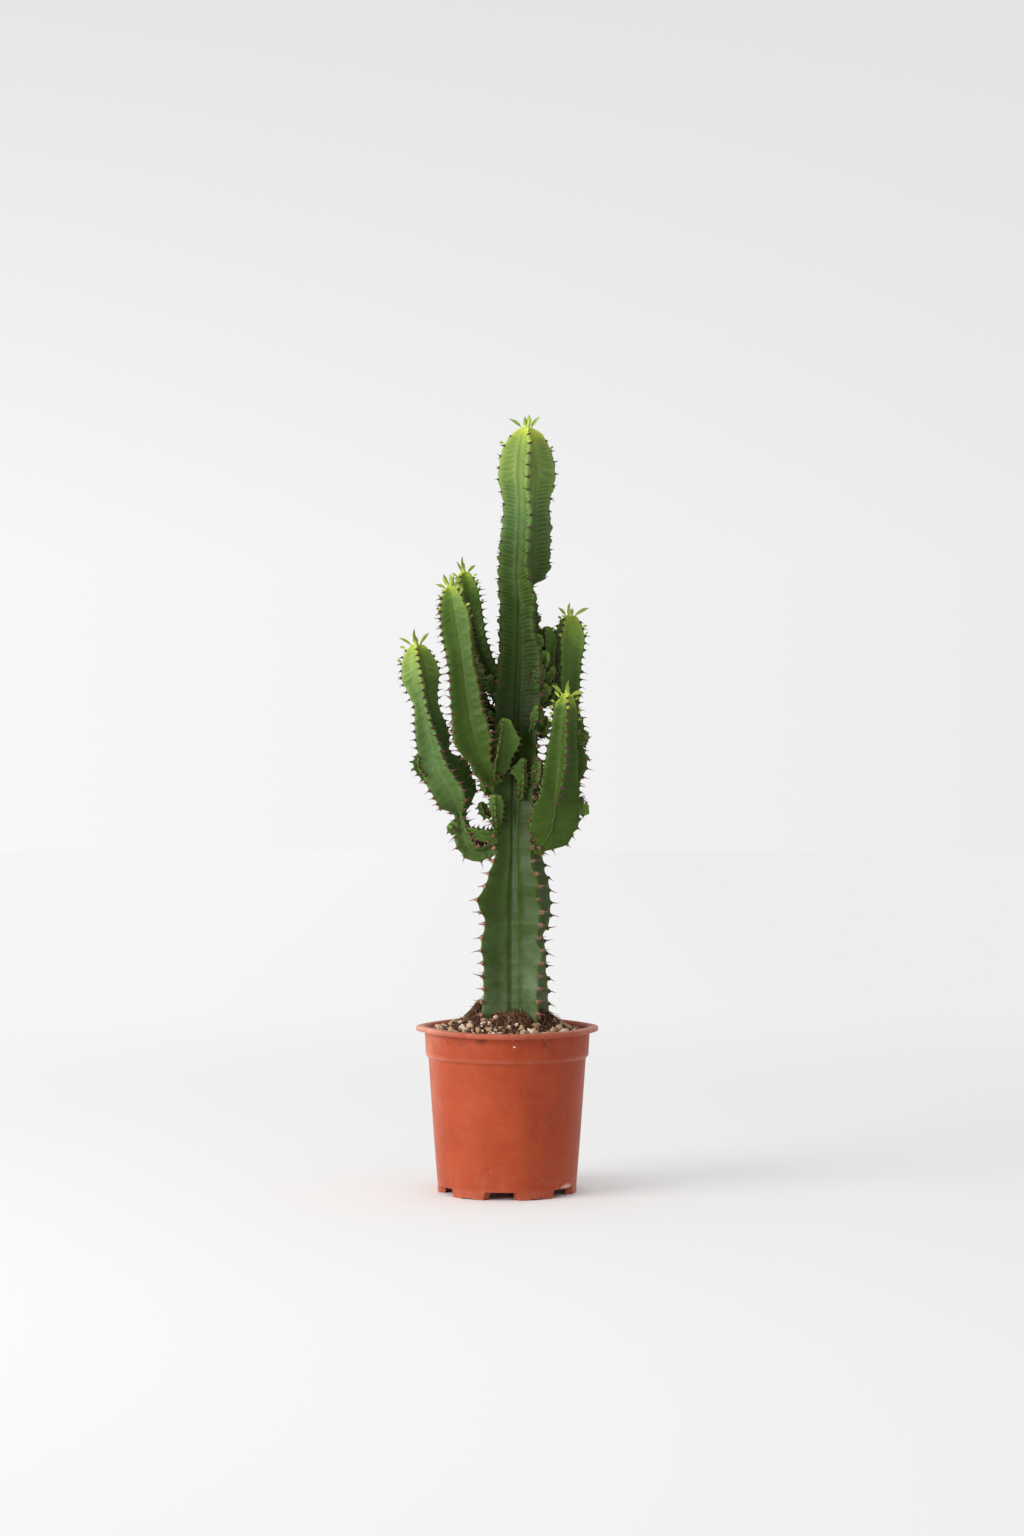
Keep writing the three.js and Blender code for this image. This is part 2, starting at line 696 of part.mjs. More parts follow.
// A leaf is a thin blade that bows outwards, widest at a third of its length.
function leafSolid(line, [azimuth, lean, length, width], swell = 0) {
  const tip = line.curve.getPointAt(1);
  const up = line.curve.getTangentAt(1);
  const [frame] = line.frames([1]);
  const outward = frame.front
    .clone()
    .multiplyScalar(Math.cos(rad(azimuth)))
    .addScaledVector(frame.right, Math.sin(rad(azimuth)));
  const side = new THREE.Vector3().crossVectors(up, outward);
  const foot = tip
    .clone()
    .addScaledVector(up, -1.5 - 0.025 * lean)
    .addScaledVector(outward, 1.2 + LEAF_SEAT * width + 0.03 * lean);
  const steps = 5;
  const rings = [];
  const centres = [];
  for (let i = 0; i <= steps; i++) {
    const u = i / steps;
    const bend = rad(lean * (0.6 + 0.8 * u));
    const centre = foot
      .clone()
      .addScaledVector(up, length * u * Math.cos(bend))
      .addScaledVector(outward, length * u * Math.sin(bend));
    const outline = (0.5 + 0.5 * Math.sin(Math.PI * (0.15 + 0.75 * u))) * (u === 1 ? 0.3 : 1);
    const broad = (width / 2) * outline + swell;
    const thick = (LEAF_THICKNESS / 2) * (1 - 0.5 * u) + swell;
    const normal = outward.clone().multiplyScalar(Math.cos(bend)).addScaledVector(up, -Math.sin(bend));
    rings.push([
      centre.clone().addScaledVector(side, -broad),
      centre.clone().addScaledVector(normal, thick),
      centre.clone().addScaledVector(side, broad),
      centre.clone().addScaledVector(normal, -thick),
    ]);
    centres.push(centre);
  }
  const below = centres[0].clone().addScaledVector(up, -swell - 0.2);
  const above = centres[steps].clone().addScaledVector(up, swell + 0.2);
  return skin(rings, below, above);
}

for (const [name, leaves] of Object.entries(LEAVES))
  leaves.forEach((leaf, i) => {
    const line = lines.get(name);
    const label = name.replace("branch_", "").replace("main_stem", "main");
    place(`leaf_${label}_${i + 1}`, leafSolid(line, leaf), leafSolid(line, leaf, JOINT_GAP), "leaf");
  });

// A pumice stone: a squashed, slightly turned polyhedron, bedded in the soil.
function stoneSolid([azimuth, distance, radius], swell = 0) {
  const stone = new THREE.IcosahedronGeometry(radius + swell, 1);
  stone.scale(1, 0.85, 0.75);
  stone.rotateZ(rad(azimuth * 2.3));
  stone.rotateX(rad(azimuth * 0.4));
  const height = soilHeight(distance) + radius * (0.75 - PUMICE_SINK);
  stone.translate(distance * Math.sin(rad(azimuth)), -distance * Math.cos(rad(azimuth)), height);
  return toSolid(stone);
}

PUMICE.forEach((stone, i) =>
  place(`pumice_${i + 1}`, stoneSolid(stone), stoneSolid(stone, JOINT_GAP), "pumice"),
);

place("soil", soilSolid(), soilSolid(), "soil");

const potMesh = new THREE.Mesh(toGeometry(potSolid()), materials.pot);
potMesh.name = "pot";
plant.add(potMesh);

// The origin is under the middle of the space that the whole plant takes.
const extent = new THREE.Box3().setFromObject(plant);
const middle = extent.getCenter(new THREE.Vector3());
plant.position.set(-middle.x, -middle.y, 0);

export default plant;
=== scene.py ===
# %% [markdown]
# # A tree euphorbia in a nursery pot
# Tree euphorbias are succulents. A main stem with four thin wings, or ribs, carries upright side
# branches of the same build. Along the edge of every rib stand small cushions with a pair of
# spines each, and the youngest ones at the tip still hold narrow leaves. The plant grows in gritty
# mix in a moulded plastic pot.
#
# Every surface here is a grid of points worked out with numpy: one direction of the grid runs along
# the piece and the other runs round it. This cell loads the solid frame that the pieces must follow.

# %% Load the frame
import bpy
import math
import numpy as np
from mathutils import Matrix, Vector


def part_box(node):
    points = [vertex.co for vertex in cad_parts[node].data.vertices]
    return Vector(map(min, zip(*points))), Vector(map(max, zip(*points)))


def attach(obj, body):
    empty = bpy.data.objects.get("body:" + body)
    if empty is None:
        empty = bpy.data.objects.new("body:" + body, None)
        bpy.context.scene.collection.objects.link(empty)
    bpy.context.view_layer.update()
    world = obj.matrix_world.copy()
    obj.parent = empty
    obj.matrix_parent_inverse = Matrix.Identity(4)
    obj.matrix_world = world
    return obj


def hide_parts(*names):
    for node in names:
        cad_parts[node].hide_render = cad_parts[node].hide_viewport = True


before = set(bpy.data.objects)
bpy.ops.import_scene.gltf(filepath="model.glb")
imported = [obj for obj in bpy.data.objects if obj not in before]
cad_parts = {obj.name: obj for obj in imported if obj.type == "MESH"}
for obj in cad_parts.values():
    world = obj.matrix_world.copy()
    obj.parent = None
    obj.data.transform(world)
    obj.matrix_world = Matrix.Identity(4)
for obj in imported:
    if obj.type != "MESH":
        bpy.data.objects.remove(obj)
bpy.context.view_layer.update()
MM = 0.001
pot_low, pot_high = np.array(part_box("pot")[0]), np.array(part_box("pot")[1])
pot_axis = (pot_low + pot_high) / 2 / MM
pot_height = pot_high[2] / MM
print("pot height", round(pot_height, 1), "mm, axis at", np.round(pot_axis[:2], 1))

# %% [markdown]
# ## Helpers for meshes
# A grid of points becomes a mesh by joining each point to its neighbours with four-sided faces.
# Building the index lists as whole arrays keeps this fast, and the same helpers serve the pot, the
# soil, the stems and the leaves. An end is closed with a fan of triangles to one middle point.

# %% Grid to mesh
def grid_faces(rows, columns):
    """Corner numbers of the quads between neighbouring rows and columns; the last column joins the first."""
    i, j = np.meshgrid(np.arange(rows - 1), np.arange(columns), indexing="ij")
    i, j = i.ravel(), j.ravel()
    k = (j + 1) % columns
    return np.stack([i * columns + j, i * columns + k, (i + 1) * columns + k, (i + 1) * columns + j], 1)


def fan_faces(ring_start, columns, centre, flip):
    """Triangles from one ring of points to a middle point."""
    j = np.arange(columns)
    k = (j + 1) % columns
    pair = (k, j) if flip else (j, k)
    return np.stack([ring_start + pair[0], ring_start + pair[1], np.full(columns, centre)], 1)


def capped_faces(rows, columns):
    """Quads of a grid, and the two fans that close its first and last rows to the two points after it."""
    first = fan_faces(0, columns, rows * columns, flip=True)
    last = fan_faces((rows - 1) * columns, columns, rows * columns + 1, flip=False)
    return [grid_faces(rows, columns), np.concatenate([first, last])]


def repeat_faces(faces, copies, size):
    """The same faces for each of many copies whose points follow one another."""
    return (faces[None] + (np.arange(copies) * size)[:, None, None]).reshape(-1, faces.shape[1])


def joined(shapes):
    """Points and faces of several shapes as one: corner numbers go up by the points that come before."""
    before = np.cumsum([0] + [len(points) for points, _ in shapes])
    faces = [np.concatenate([f[k] + start for (_, f), start in zip(shapes, before)]) for k in (0, 1)]
    return np.concatenate([points for points, _ in shapes]), faces


print("a closed grid of 3 by 4 points has", sum(map(len, capped_faces(3, 4))), "faces")

# %% Mesh to piece
def make_mesh(name, points_mm, faces, **attributes):
    """A mesh object from points in millimetres, a list of face arrays and numbers for every point."""
    mesh = bpy.data.meshes.new(name)
    sizes = np.concatenate([np.full(len(f), f.shape[1]) for f in faces])
    corners = np.concatenate([f.ravel() for f in faces])
    mesh.vertices.add(len(points_mm))
    mesh.vertices.foreach_set("co", (np.asarray(points_mm) * MM).astype(np.float32).ravel())
    mesh.loops.add(len(corners))
    mesh.loops.foreach_set("vertex_index", corners.astype(np.int32))
    mesh.polygons.add(len(sizes))
    mesh.polygons.foreach_set("loop_start", (np.cumsum(sizes) - sizes).astype(np.int32))
    mesh.polygons.foreach_set("use_smooth", np.full(len(sizes), True))
    for key, values in attributes.items():
        layer = mesh.attributes.new(key, "FLOAT", "POINT")
        layer.data.foreach_set("value", np.asarray(values, np.float32).ravel())
    mesh.update(calc_edges=True)
    mesh.validate()
    piece = bpy.data.objects.new(name, mesh)
    bpy.context.scene.collection.objects.link(piece)
    return piece


def finish_piece(piece, material, *nodes, slot=None):
    """Gives a piece its material and its place on the plant's one body."""
    piece.data.materials.append(material)
    if nodes:
        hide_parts(*nodes)
    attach(piece, "root")
    print(piece.name, len(piece.data.polygons), "faces")
    return piece


# %% [markdown]
# ## Helpers for materials
# Colours are written as the sRGB hex values that a colour picker shows, and turned to the linear
# values that light is added up in. One small function adds any node with its settings and links.
# Three patterns of nodes come back in every material: blotches of noise, shares multiplied with each
# other, and layers of colour laid over each other.

# %% Colour and node helpers
def colour(hex_code):
    """sRGB hex to linear: below 0.04045 divide by 12.92, above it raise (c + 0.055) / 1.055 to 2.4."""
    s = np.array([int(hex_code[i : i + 2], 16) for i in (1, 3, 5)]) / 255
    return (*np.where(s <= 0.04045, s / 12.92, ((s + 0.055) / 1.055) ** 2.4), 1.0)


def add(tree, kind, *values, out=None, stops=(), ease=False, **named):
    """Adds a node and gives back its first output, or the one that out names. The values go to its
    inputs in order: a socket is linked, a hex code becomes a colour. Words that start with a capital
    are inputs by name and the others are settings. Stops are a colour ramp's (place, hex or grey)."""
    node = tree.nodes.new("ShaderNode" + kind)
    for key in [key for key in named if key[0].islower()]:
        setattr(node, key, named.pop(key))
    wanted = list(zip([socket for socket in node.inputs if socket.enabled], values))
    wanted += [(node.inputs[key.replace("_", " ")], value) for key, value in named.items()]
    for socket, value in wanted:
        if isinstance(value, bpy.types.NodeSocket):
            tree.links.new(value, socket)
        else:
            socket.default_value = colour(value) if isinstance(value, str) else value
    for i, (place, value) in enumerate(stops):
        node.color_ramp.interpolation = "EASE" if ease else "LINEAR"
        elements = node.color_ramp.elements
        element = elements[i] if i < len(elements) else elements.new(1.0)
        element.position = place
        element.color = colour(value) if isinstance(value, str) else (value, value, value, 1)
    return node.outputs[out] if out else next(socket for socket in node.outputs if socket.enabled)


def new_material(name, **uniform):
    """A material with one Principled shader, whose all-over values are set on its own sockets. Gives
    back the material, its nodes, the shader and the place on the object in metres."""
    material = bpy.data.materials.new(name)
    material.use_nodes = True
    tree = material.node_tree
    shader = tree.nodes["Principled BSDF"]
    for key, value in uniform.items():
        shader.inputs[key.replace("_", " ")].default_value = value
    return material, tree, shader, add(tree, "TexCoord", out="Object")


def blotches(tree, spot, size_mm, low=0.0, high=1.0, least=0.0, most=1.0, detail=4, roughness=0.55):
    """Noise whose blobs are about so many millimetres across. It gives least where the noise is under
    low, most where it is over high, and a straight line between."""
    value = add(tree, "TexNoise", spot, 1 / (size_mm * MM), detail, roughness)
    return add(tree, "MapRange", value, low, high, least, most)


def times(tree, *factors):
    """The product of numbers and sockets."""
    product = factors[0]
    for factor in factors[1:]:
        product = add(tree, "Math", product, factor, operation="MULTIPLY")
    return product


def layered(tree, base, *layers, blend="MIX"):
    """Colours laid over a base in turn, each with its share: colour below x (1 - share) + colour x share."""
    for share, tint in layers:
        base = add(tree, "Mix", share, base, tint, data_type="RGBA", blend_type=blend)
    return base


print("mid grey is", round(colour("#808080")[0], 3), "in linear light")

# %% [markdown]
# ## Camera
# A long lens a few metres away keeps the upright stems from leaning in towards each other. It looks
# almost level, from a little over half the plant's height, so the pot is seen slightly from above.

# %% Camera
camera_right, camera_back, camera_height, look_down = 4.6, 2776, 414, 0.44  # mm, mm, mm, degrees
camera_data = bpy.data.cameras.new("camera")
camera_data.lens = 70.1
camera_data.sensor_width = 36
camera = bpy.data.objects.new("camera", camera_data)
camera.location = ((pot_axis[0] + camera_right) * MM, -camera_back * MM, camera_height * MM)
camera.rotation_euler = (math.radians(90 - look_down), 0, 0)
bpy.context.scene.collection.objects.link(camera)
bpy.context.scene.camera = camera
print("camera", tuple(round(v, 3) for v in camera.location))

# %% [markdown]
# ## Studio
# A pale sheet of paper lies under the pot, and pale light comes from all round, which is what a white studio
# gives. The floor is a wide disc whose far part fades to the colour of the background, so no horizon shows.
# Near the pot it also glows a little, a painted light that keeps the shadow faint. A big soft box stands low
# on the left, and the right-hand wall is darker, so the light falls from one side but the shadow stays faint.

# %% Background light
left_grey, right_grey, ceiling_grey, dark_wall = "#F9F9F9", "#EBEBEB", "#E0E0E0", "#C6C6C6"
world = bpy.data.worlds.new("studio")
bpy.context.scene.world = world
world.use_nodes = True
sky = world.node_tree
direction = add(sky, "TexCoord", out="Generated")
to_right, upwards = (add(sky, "SeparateXYZ", direction, out=axis) for axis in "XZ")
across_sky = add(sky, "MapRange", to_right, -0.2, 0.2)
overhead = add(sky, "MapRange", upwards, 0.06, 0.3)
far_right = add(sky, "MapRange", to_right, 0.3, 0.85, interpolation_type="SMOOTHSTEP")
wall_light = layered(sky, left_grey, (across_sky, right_grey), (overhead, ceiling_grey))
wall_light = layered(sky, wall_light, (far_right, dark_wall))
sky.links.new(wall_light, sky.nodes["Background"].inputs["Color"])
sky.nodes["Background"].inputs["Strength"].default_value = 1.0
bpy.context.scene.view_settings.view_transform = "Standard"
print("background from", left_grey, "to", dark_wall)

# %% Floor
floor_radius, floor_columns, floor_drop = 9000, 96, 0.02
rings = np.array([0.5, 40, 80, 120, 200, 300, 450, 700, 1000, 1500, 2400, 4000, 6500, floor_radius])
turn = np.linspace(0, 2 * np.pi, floor_columns, endpoint=False)
x, y = rings[:, None] * np.cos(turn), rings[:, None] * np.sin(turn)
disc = np.stack([x, y, np.full_like(x, -floor_drop)], -1).reshape(-1, 3)
middle = np.arange(floor_columns)[None, ::-1].copy()
floor = make_mesh("floor", disc, [grid_faces(len(rings), floor_columns), middle])
paper, tree, shader, spot = new_material("matte_paper", Roughness=0.9, Specular_IOR_Level=0.1)
shader.inputs["Base Color"].default_value = colour("#F0EFEE")

# %% Floor glow
# Stops of (distance from the middle in units of 2 m, share of glow): none under the pot, a painted glow near
# it that lifts the pot's shadow, and from 2 m out the paper has the tone of the wall behind it. The glow is
# painted paler on the left and darker far to the right, as the soft box and the darker wall light it.
floor_glow_stops = [(0.034, 0.0), (0.044, 0.24), (0.1, 0.42), (0.2, 0.47), (1.0, 1.0)]
distance = add(tree, "VectorMath", spot, operation="LENGTH")
far = add(tree, "ValToRGB", times(tree, distance, 0.5), stops=floor_glow_stops, ease=True)
to_right = add(tree, "SeparateXYZ", spot, out="X")
across_floor = add(tree, "MapRange", to_right, -0.6, 0.6)
far_right = add(tree, "MapRange", to_right, 2.5, 8.5, interpolation_type="SMOOTHSTEP")
floor_glow_tone = layered(tree, "#F6F6F6", (across_floor, "#EDEDED"), (far_right, dark_wall))
floor_glow = add(tree, "Emission", floor_glow_tone, 1.0)
paper_and_glow = add(tree, "MixShader", far, shader.outputs[0], floor_glow)
tree.links.new(paper_and_glow, tree.nodes["Material Output"].inputs["Surface"])
floor.data.materials.append(paper)
print("floor", 2 * floor_radius * MM, "m across")

# %% Soft box
def soft_box(name, place, aim, size, watts):
    """A square area light at a place, turned to face a point, both in metres."""
    data = bpy.data.lights.new(name, "AREA")
    data.size = size
    data.energy = watts
    lamp = bpy.data.objects.new(name, data)
    gap = np.array(aim) - np.array(place)
    lamp.location = place
    lamp.rotation_euler = (math.atan2(np.hypot(gap[0], gap[1]), -gap[2]), 0, math.atan2(-gap[0], gap[1]))
    bpy.context.scene.collection.objects.link(lamp)
    return lamp


soft_box("window_light", (-2.6, -1.5, 1.15), (0, 0, 0.35), 2.0, 102)

# %% [markdown]
# ## Smooth randomness
# Nothing that grows or is handled is perfectly even. Adding up a few dozen waves with random
# directions gives a smooth bumpy field that can be worked out at any point, and a fixed seed makes
# it the same on every run.

# %% A bumpy field
def bumps(points, size_mm, seed, waves=24):
    """Sum of sine waves, each with its own direction and start, scaled to stay roughly within -1 and 1."""
    rng = np.random.default_rng(seed)
    axis = rng.normal(size=(waves, points.shape[-1]))
    axis /= np.linalg.norm(axis, axis=1, keepdims=True)
    pace = 2 * np.pi / (size_mm * rng.uniform(0.7, 1.6, waves))
    start = rng.uniform(0, 2 * np.pi, waves)
    return np.sin(points @ (axis * pace[:, None]).T + start).sum(-1) / math.sqrt(waves) / 1.2


def smooth_step(x, low, high):
    """0 below low, 1 above high, and 3u2 - 2u3 of the share u in between."""
    u = np.clip((x - low) / (high - low), 0, 1)
    return u * u * (3 - 2 * u)


# %% [markdown]
# ## The pot
# The pot is injection moulded in one shot of polypropylene: a tapered wall, a stepped collar, a
# rolled lip and a foot ring with gaps that let water out. It could be turned with a Screw modifier
# and cut with booleans. Here it is one grid instead: the rows follow the wall's outline and the
# columns run round it. In the foot ring, columns over a gap stay up at the floor, and the columns of
# a foot reach the ground and close up a little, so each foot is narrower where it stands. The lip of a
# thin pot is never quite level, so the top rises and falls by a millimetre or two.

# %% Pot outline
lip_radius = (pot_high[0] - pot_low[0]) / 2 / MM
lip_depth, lip_width, collar_height, collar_step = 5.0, 8.0, 27.0, 2.4
wall, foot_radius, foot_ring, floor_height = 1.5, 64.5, 6.0, 7.5
foot_count, foot_turn, pad_half, pad_rise = 6, 25.4, 5.0, 1.2
foot_half, foot_slope, foot_flare = 14.5, 1.9, 3.6  # degrees: at the ground, more at the floor, more inside
collar_top = lip_radius - lip_width
collar_foot = collar_top - 1.2
body_top = collar_foot - collar_step
step_top = pot_height - collar_height
step_foot = step_top - collar_step
lip_foot = pot_height - lip_depth


def rounded(points, steps=4):
    """Each corner of a broken line is cut a little either side and joined by a quadratic curve."""
    line = [points[0][:2]]
    for (x0, z0, *_), (x1, z1, r), (x2, z2, *_) in zip(points, points[1:], points[2:]):
        corner, back, on = np.array([x1, z1]), np.array([x0, z0]), np.array([x2, z2])
        a = corner + (back - corner) * min(r / np.linalg.norm(back - corner), 0.45)
        b = corner + (on - corner) * min(r / np.linalg.norm(on - corner), 0.45)
        u = np.linspace(0, 1, steps)[:, None]
        line += list((1 - u) ** 2 * a + 2 * u * (1 - u) * corner + u**2 * b)
    return np.array(line + [points[-1][:2]])


outside = rounded(
    [
        (foot_radius, floor_height, 0),
        (foot_radius + 3.1, 45, 15),
        (body_top, step_foot, 0.8),
        (collar_foot, step_top, 0.8),
        (collar_top, lip_foot, 1.2),
        (lip_radius, lip_foot + 0.2, 1.6),
        (lip_radius, pot_height, 2.6),
        (collar_top + 0.6, pot_height - 0.1, 1.4),
        (collar_top - wall, pot_height - 2.6, 1.4),
        (collar_foot - wall, step_top - 1, 0.8),
        (body_top - wall, step_foot - 1, 0.8),
        (foot_radius - wall, floor_height + 1.6, 1.5),
        (0.5, floor_height + 1.6, 0),
    ]
)
row_gap = 3
spans = []
for start, end in zip(outside, outside[1:]):
    spans.append(np.linspace(start, end, 1 + int(np.hypot(*(end - start)) // row_gap), endpoint=False))
outside = np.concatenate(spans + [outside[-1:]])
ring_inner = foot_radius - foot_ring
under_floor = [0.5, ring_inner * 0.5, ring_inner]
foot_rows = np.array([(ring_inner, 0.0), (foot_radius - 0.6, 0.0), (foot_radius, 0.7)])
print("outline points", len(outside))

# %% Pot surface
def pot_columns():
    """For each column: its place within its foot's share of the ring, whether it goes down, and its pad.
    A place of -1 or 1 is a side of the foot, and -2 or 2 is the middle of the gap beside it."""
    gap = np.linspace(-2, -1, 5)
    pad_share = pad_half / foot_half
    foot = np.concatenate([np.linspace(-1, -pad_share - 0.02, 6), np.linspace(-pad_share, pad_share, 5)])
    foot = np.concatenate([foot, -foot[:6][::-1]])
    place = np.concatenate([gap, foot, -gap[::-1][:-1]])
    on_foot = np.concatenate([np.zeros(len(gap)), np.ones(len(foot)), np.zeros(len(gap) - 1)])
    pad = (np.abs(place) <= pad_share) * pad_rise
    return [np.tile(one, foot_count) for one in (place, on_foot, pad)]


def column_angle(place, radius, level):
    """A foot widens from the ground up and from its outside in; the gap takes what is left of the ring."""
    share = np.minimum(level, floor_height) / floor_height
    inward = np.clip((foot_radius - radius) / foot_ring, 0, 1) * (level < floor_height + 0.1)
    half = foot_half + foot_slope * share + foot_flare * inward
    size = np.abs(place)
    angle = np.sign(place) * np.where(size < 1, size * half, half + (size - 1) * (180 / foot_count - half))
    return angle + foot_turn + 360 / foot_count * np.repeat(np.arange(foot_count), len(place) // foot_count)


def pot_surface():
    """Rows: floor's underside, foot ring, then up the outside, over the lip and down the inside."""
    place, on_foot, pad = pot_columns()
    one = np.ones(len(place))
    rows = [(column_angle(place, r, floor_height), r * one, floor_height * one) for r in under_floor]
    for radius, level in foot_rows:
        height = np.where(on_foot > 0, np.maximum(level, pad), floor_height)
        rows.append((column_angle(place, radius, height), radius * one, height))
    wall_angle = column_angle(place, foot_radius, floor_height)
    rows += [(wall_angle, radius * one, level * one) for radius, level in outside]
    angle, radius, level = (np.array(part) for part in zip(*rows))
    turn = np.radians(angle)
    give = smooth_step(level, 20, pot_height)
    radius = radius + give * (radius > 30) * (0.25 * np.sin(2 * turn + 1) + 0.12 * np.sin(5 * turn))
    sag = 0.75 * (1 - np.cos(3 * turn)) * (1 - 0.2 * np.sin(turn)) + 0.15 * np.sin(5 * turn + 1)
    level = level + smooth_step(level, 110, pot_height) * (sag - 0.1)
    level = np.maximum(level, 0)
    x = pot_axis[0] + radius * np.sin(turn)
    y = pot_axis[1] - radius * np.cos(turn)
    return np.stack([x, y, level], -1)


grid = pot_surface()
rows, columns = grid.shape[:2]
centres = [[*pot_axis[:2], floor_height], [*pot_axis[:2], floor_height + 1.6]]
# Edges that get handled and dusty: (radius, height, reach in mm, wear) for the lip's outer corners, the
# step of the collar and the feet.
profile = np.concatenate([np.zeros((len(under_floor), 2)), foot_rows, outside])
edges = [
    (lip_radius, pot_height, 2.4, 1.0), (lip_radius, lip_foot, 1.5, 0.6), (collar_foot, step_top, 1.3, 0.4),
    (foot_radius, 0.0, 2.0, 0.4), (foot_radius, floor_height, 1.5, 0.2),
]
worn = sum(w * np.exp(-((profile[:, 0] - r) ** 2 + (profile[:, 1] - z) ** 2) / d**2) for r, z, d, w in edges)
worn = np.append(np.repeat(worn, columns), [0, 0])
points = np.concatenate([grid.reshape(-1, 3), centres])
pot = make_mesh("moulded_pot", points, capped_faces(rows, columns), worn=worn)
pot.data.set_sharp_from_angle(angle=math.radians(38))
print("the pot's grid has", rows, "rows of", columns, "points")

# %% [markdown]
# ### Polypropylene
# Nursery pots are moulded from pigmented polypropylene. It is satin, slightly see-through at the surface, and
# picks up a chalky bloom from hard water, fine scratches from handling and darker smudges of damp soil under
# the lip. The bloom sits low on the wall, where water dries last. The worn edges are also painted paler
# towards the pot's left and right ends, a painted sheen, and the left side gets paler blotches that are part
# dust and part painted light. Each of these is a share between 0 and 1 worked out from the place on the pot,
# and a colour laid over.

# %% Moulded polypropylene
plastic, tree, shader, spot = new_material(
    "moulded_polypropylene", IOR=1.49, Specular_IOR_Level=0.22, Sheen_Weight=0.16, Sheen_Roughness=0.35,
    Sheen_Tint=colour("#F2D8CC"),
)
across, level = (add(tree, "SeparateXYZ", spot, out=axis) for axis in "XZ")
pigment = [(0.3, "#963A1C"), (0.52, "#A03F1F"), (0.75, "#A84826")]
base = add(tree, "ValToRGB", blotches(tree, spot, 45), stops=pigment)
fleck = blotches(tree, spot, 9, 0.42, 0.8, most=0.14, roughness=0.65)
low_down = add(tree, "MapRange", level, 45 * MM, 0.0, 0.0, 0.22, interpolation_type="SMOOTHSTEP")
chalk = times(tree, blotches(tree, spot, 14, 0.46, 0.74, detail=5, roughness=0.7), low_down)
# Paler blotches on the left side, the side the soft box lights: dust in part and painted light in part.
flank, edge = (pot_axis[0] - 52) * MM, (pot_axis[0] - 80) * MM
left_side = add(tree, "MapRange", across, flank, edge, 0.0, 0.42, interpolation_type="SMOOTHSTEP")
dust_and_light = times(tree, left_side, blotches(tree, spot, 20, 0.35, 0.65, 0.35, roughness=0.6))
speck = blotches(tree, spot, 2.6, 0.73, 0.79, most=0.45, detail=2)
base = layered(tree, base, (fleck, "#C06C48"), (chalk, "#C98A6E"), (dust_and_light, "#CC9479"), (speck, "#D9A88C"))
print("colours of the plastic:", len(pigment))

# %% Marks of use and a painted sheen
rub = blotches(tree, spot, 6, 0.3, 0.6, 0.25, roughness=0.7)
from_axis = add(tree, "Math", across, pot_axis[0] * MM, operation="SUBTRACT")
from_axis = add(tree, "Math", from_axis, operation="ABSOLUTE")
# Painted sheen: the worn edges are painted paler towards the pot's left and right ends as well as where they
# are worn.
sheen_at_sides = add(tree, "MapRange", from_axis, 45 * MM, 82 * MM, 0.22, 0.75, interpolation_type="SMOOTHSTEP")
wear_and_sheen = times(tree, add(tree, "Attribute", attribute_name="worn", out="Fac"), rub, sheen_at_sides)
under_lip = add(tree, "MapRange", level, 122 * MM, 147 * MM, 0.0, 0.6, interpolation_type="SMOOTHSTEP")
smudge = times(tree, blotches(tree, spot, 12, 0.57, 0.68, detail=5, roughness=0.75), under_lip)
base = layered(tree, base, (wear_and_sheen, "#E0B7A2"), (smudge, "#4E2417"))


def mark(azimuth, height_mm, size_mm, ragged, most):
    """Most at a place on the wall, falling to 0 at about its size in millimetres, with a ragged outline:
    the length of (place - centre) / size, plus some noise, is what fades."""
    turn = math.radians(azimuth)
    radii = [foot_radius, body_top, collar_foot, collar_top]
    wall_here = np.interp(height_mm, [0, step_foot, step_top, lip_foot], radii)
    place = (pot_axis[0] + wall_here * math.sin(turn), pot_axis[1] - wall_here * math.cos(turn), height_mm)
    gap = add(tree, "VectorMath", spot, [v * MM for v in place], operation="SUBTRACT")
    gap = add(tree, "VectorMath", gap, [1 / (v * MM) for v in size_mm], operation="MULTIPLY")
    gap = add(tree, "VectorMath", gap, operation="LENGTH")
    noise = blotches(tree, spot, min(size_mm) * 0.6, most=ragged, roughness=0.7)
    return add(tree, "MapRange", add(tree, "Math", gap, noise), 0.55, 1.0, most, 0.0)


base = layered(
    tree, base,
    (mark(-18, 147, (10, 10, 8), 0.7, 0.6), "#4A2316"),
    (mark(5, 141, (2.0, 2.0, 1.3), 0.5, 1.0), "#E9D8CC"),
    (mark(58, 9, (14, 14, 4), 0.5, 0.7), "#D9C2B4"),
)
tree.links.new(base, shader.inputs["Base Color"])
tree.links.new(blotches(tree, spot, 8, least=0.42, most=0.62), shader.inputs["Roughness"])
grain = add(tree, "Bump", Height=blotches(tree, spot, 1.3, detail=3), Strength=0.18, Distance=0.0004)
tree.links.new(grain, shader.inputs["Normal"])
finish_piece(pot, plastic, "pot", slot="pot_plastic")

# %% [markdown]
# ## Growth values
# A stem is told by a few numbers: where its middle runs, how it turns, and how far each rib reaches
# out at a few places along it. The main stem's line is given above the soil. A shoot's foot is found
# on the stem that bears it, and the rest of its line goes on from that foot, in millimetres. Bearing
# angles go round from the front, so 90 is the right-hand side. Ribs are listed from the front one
# round to the right.

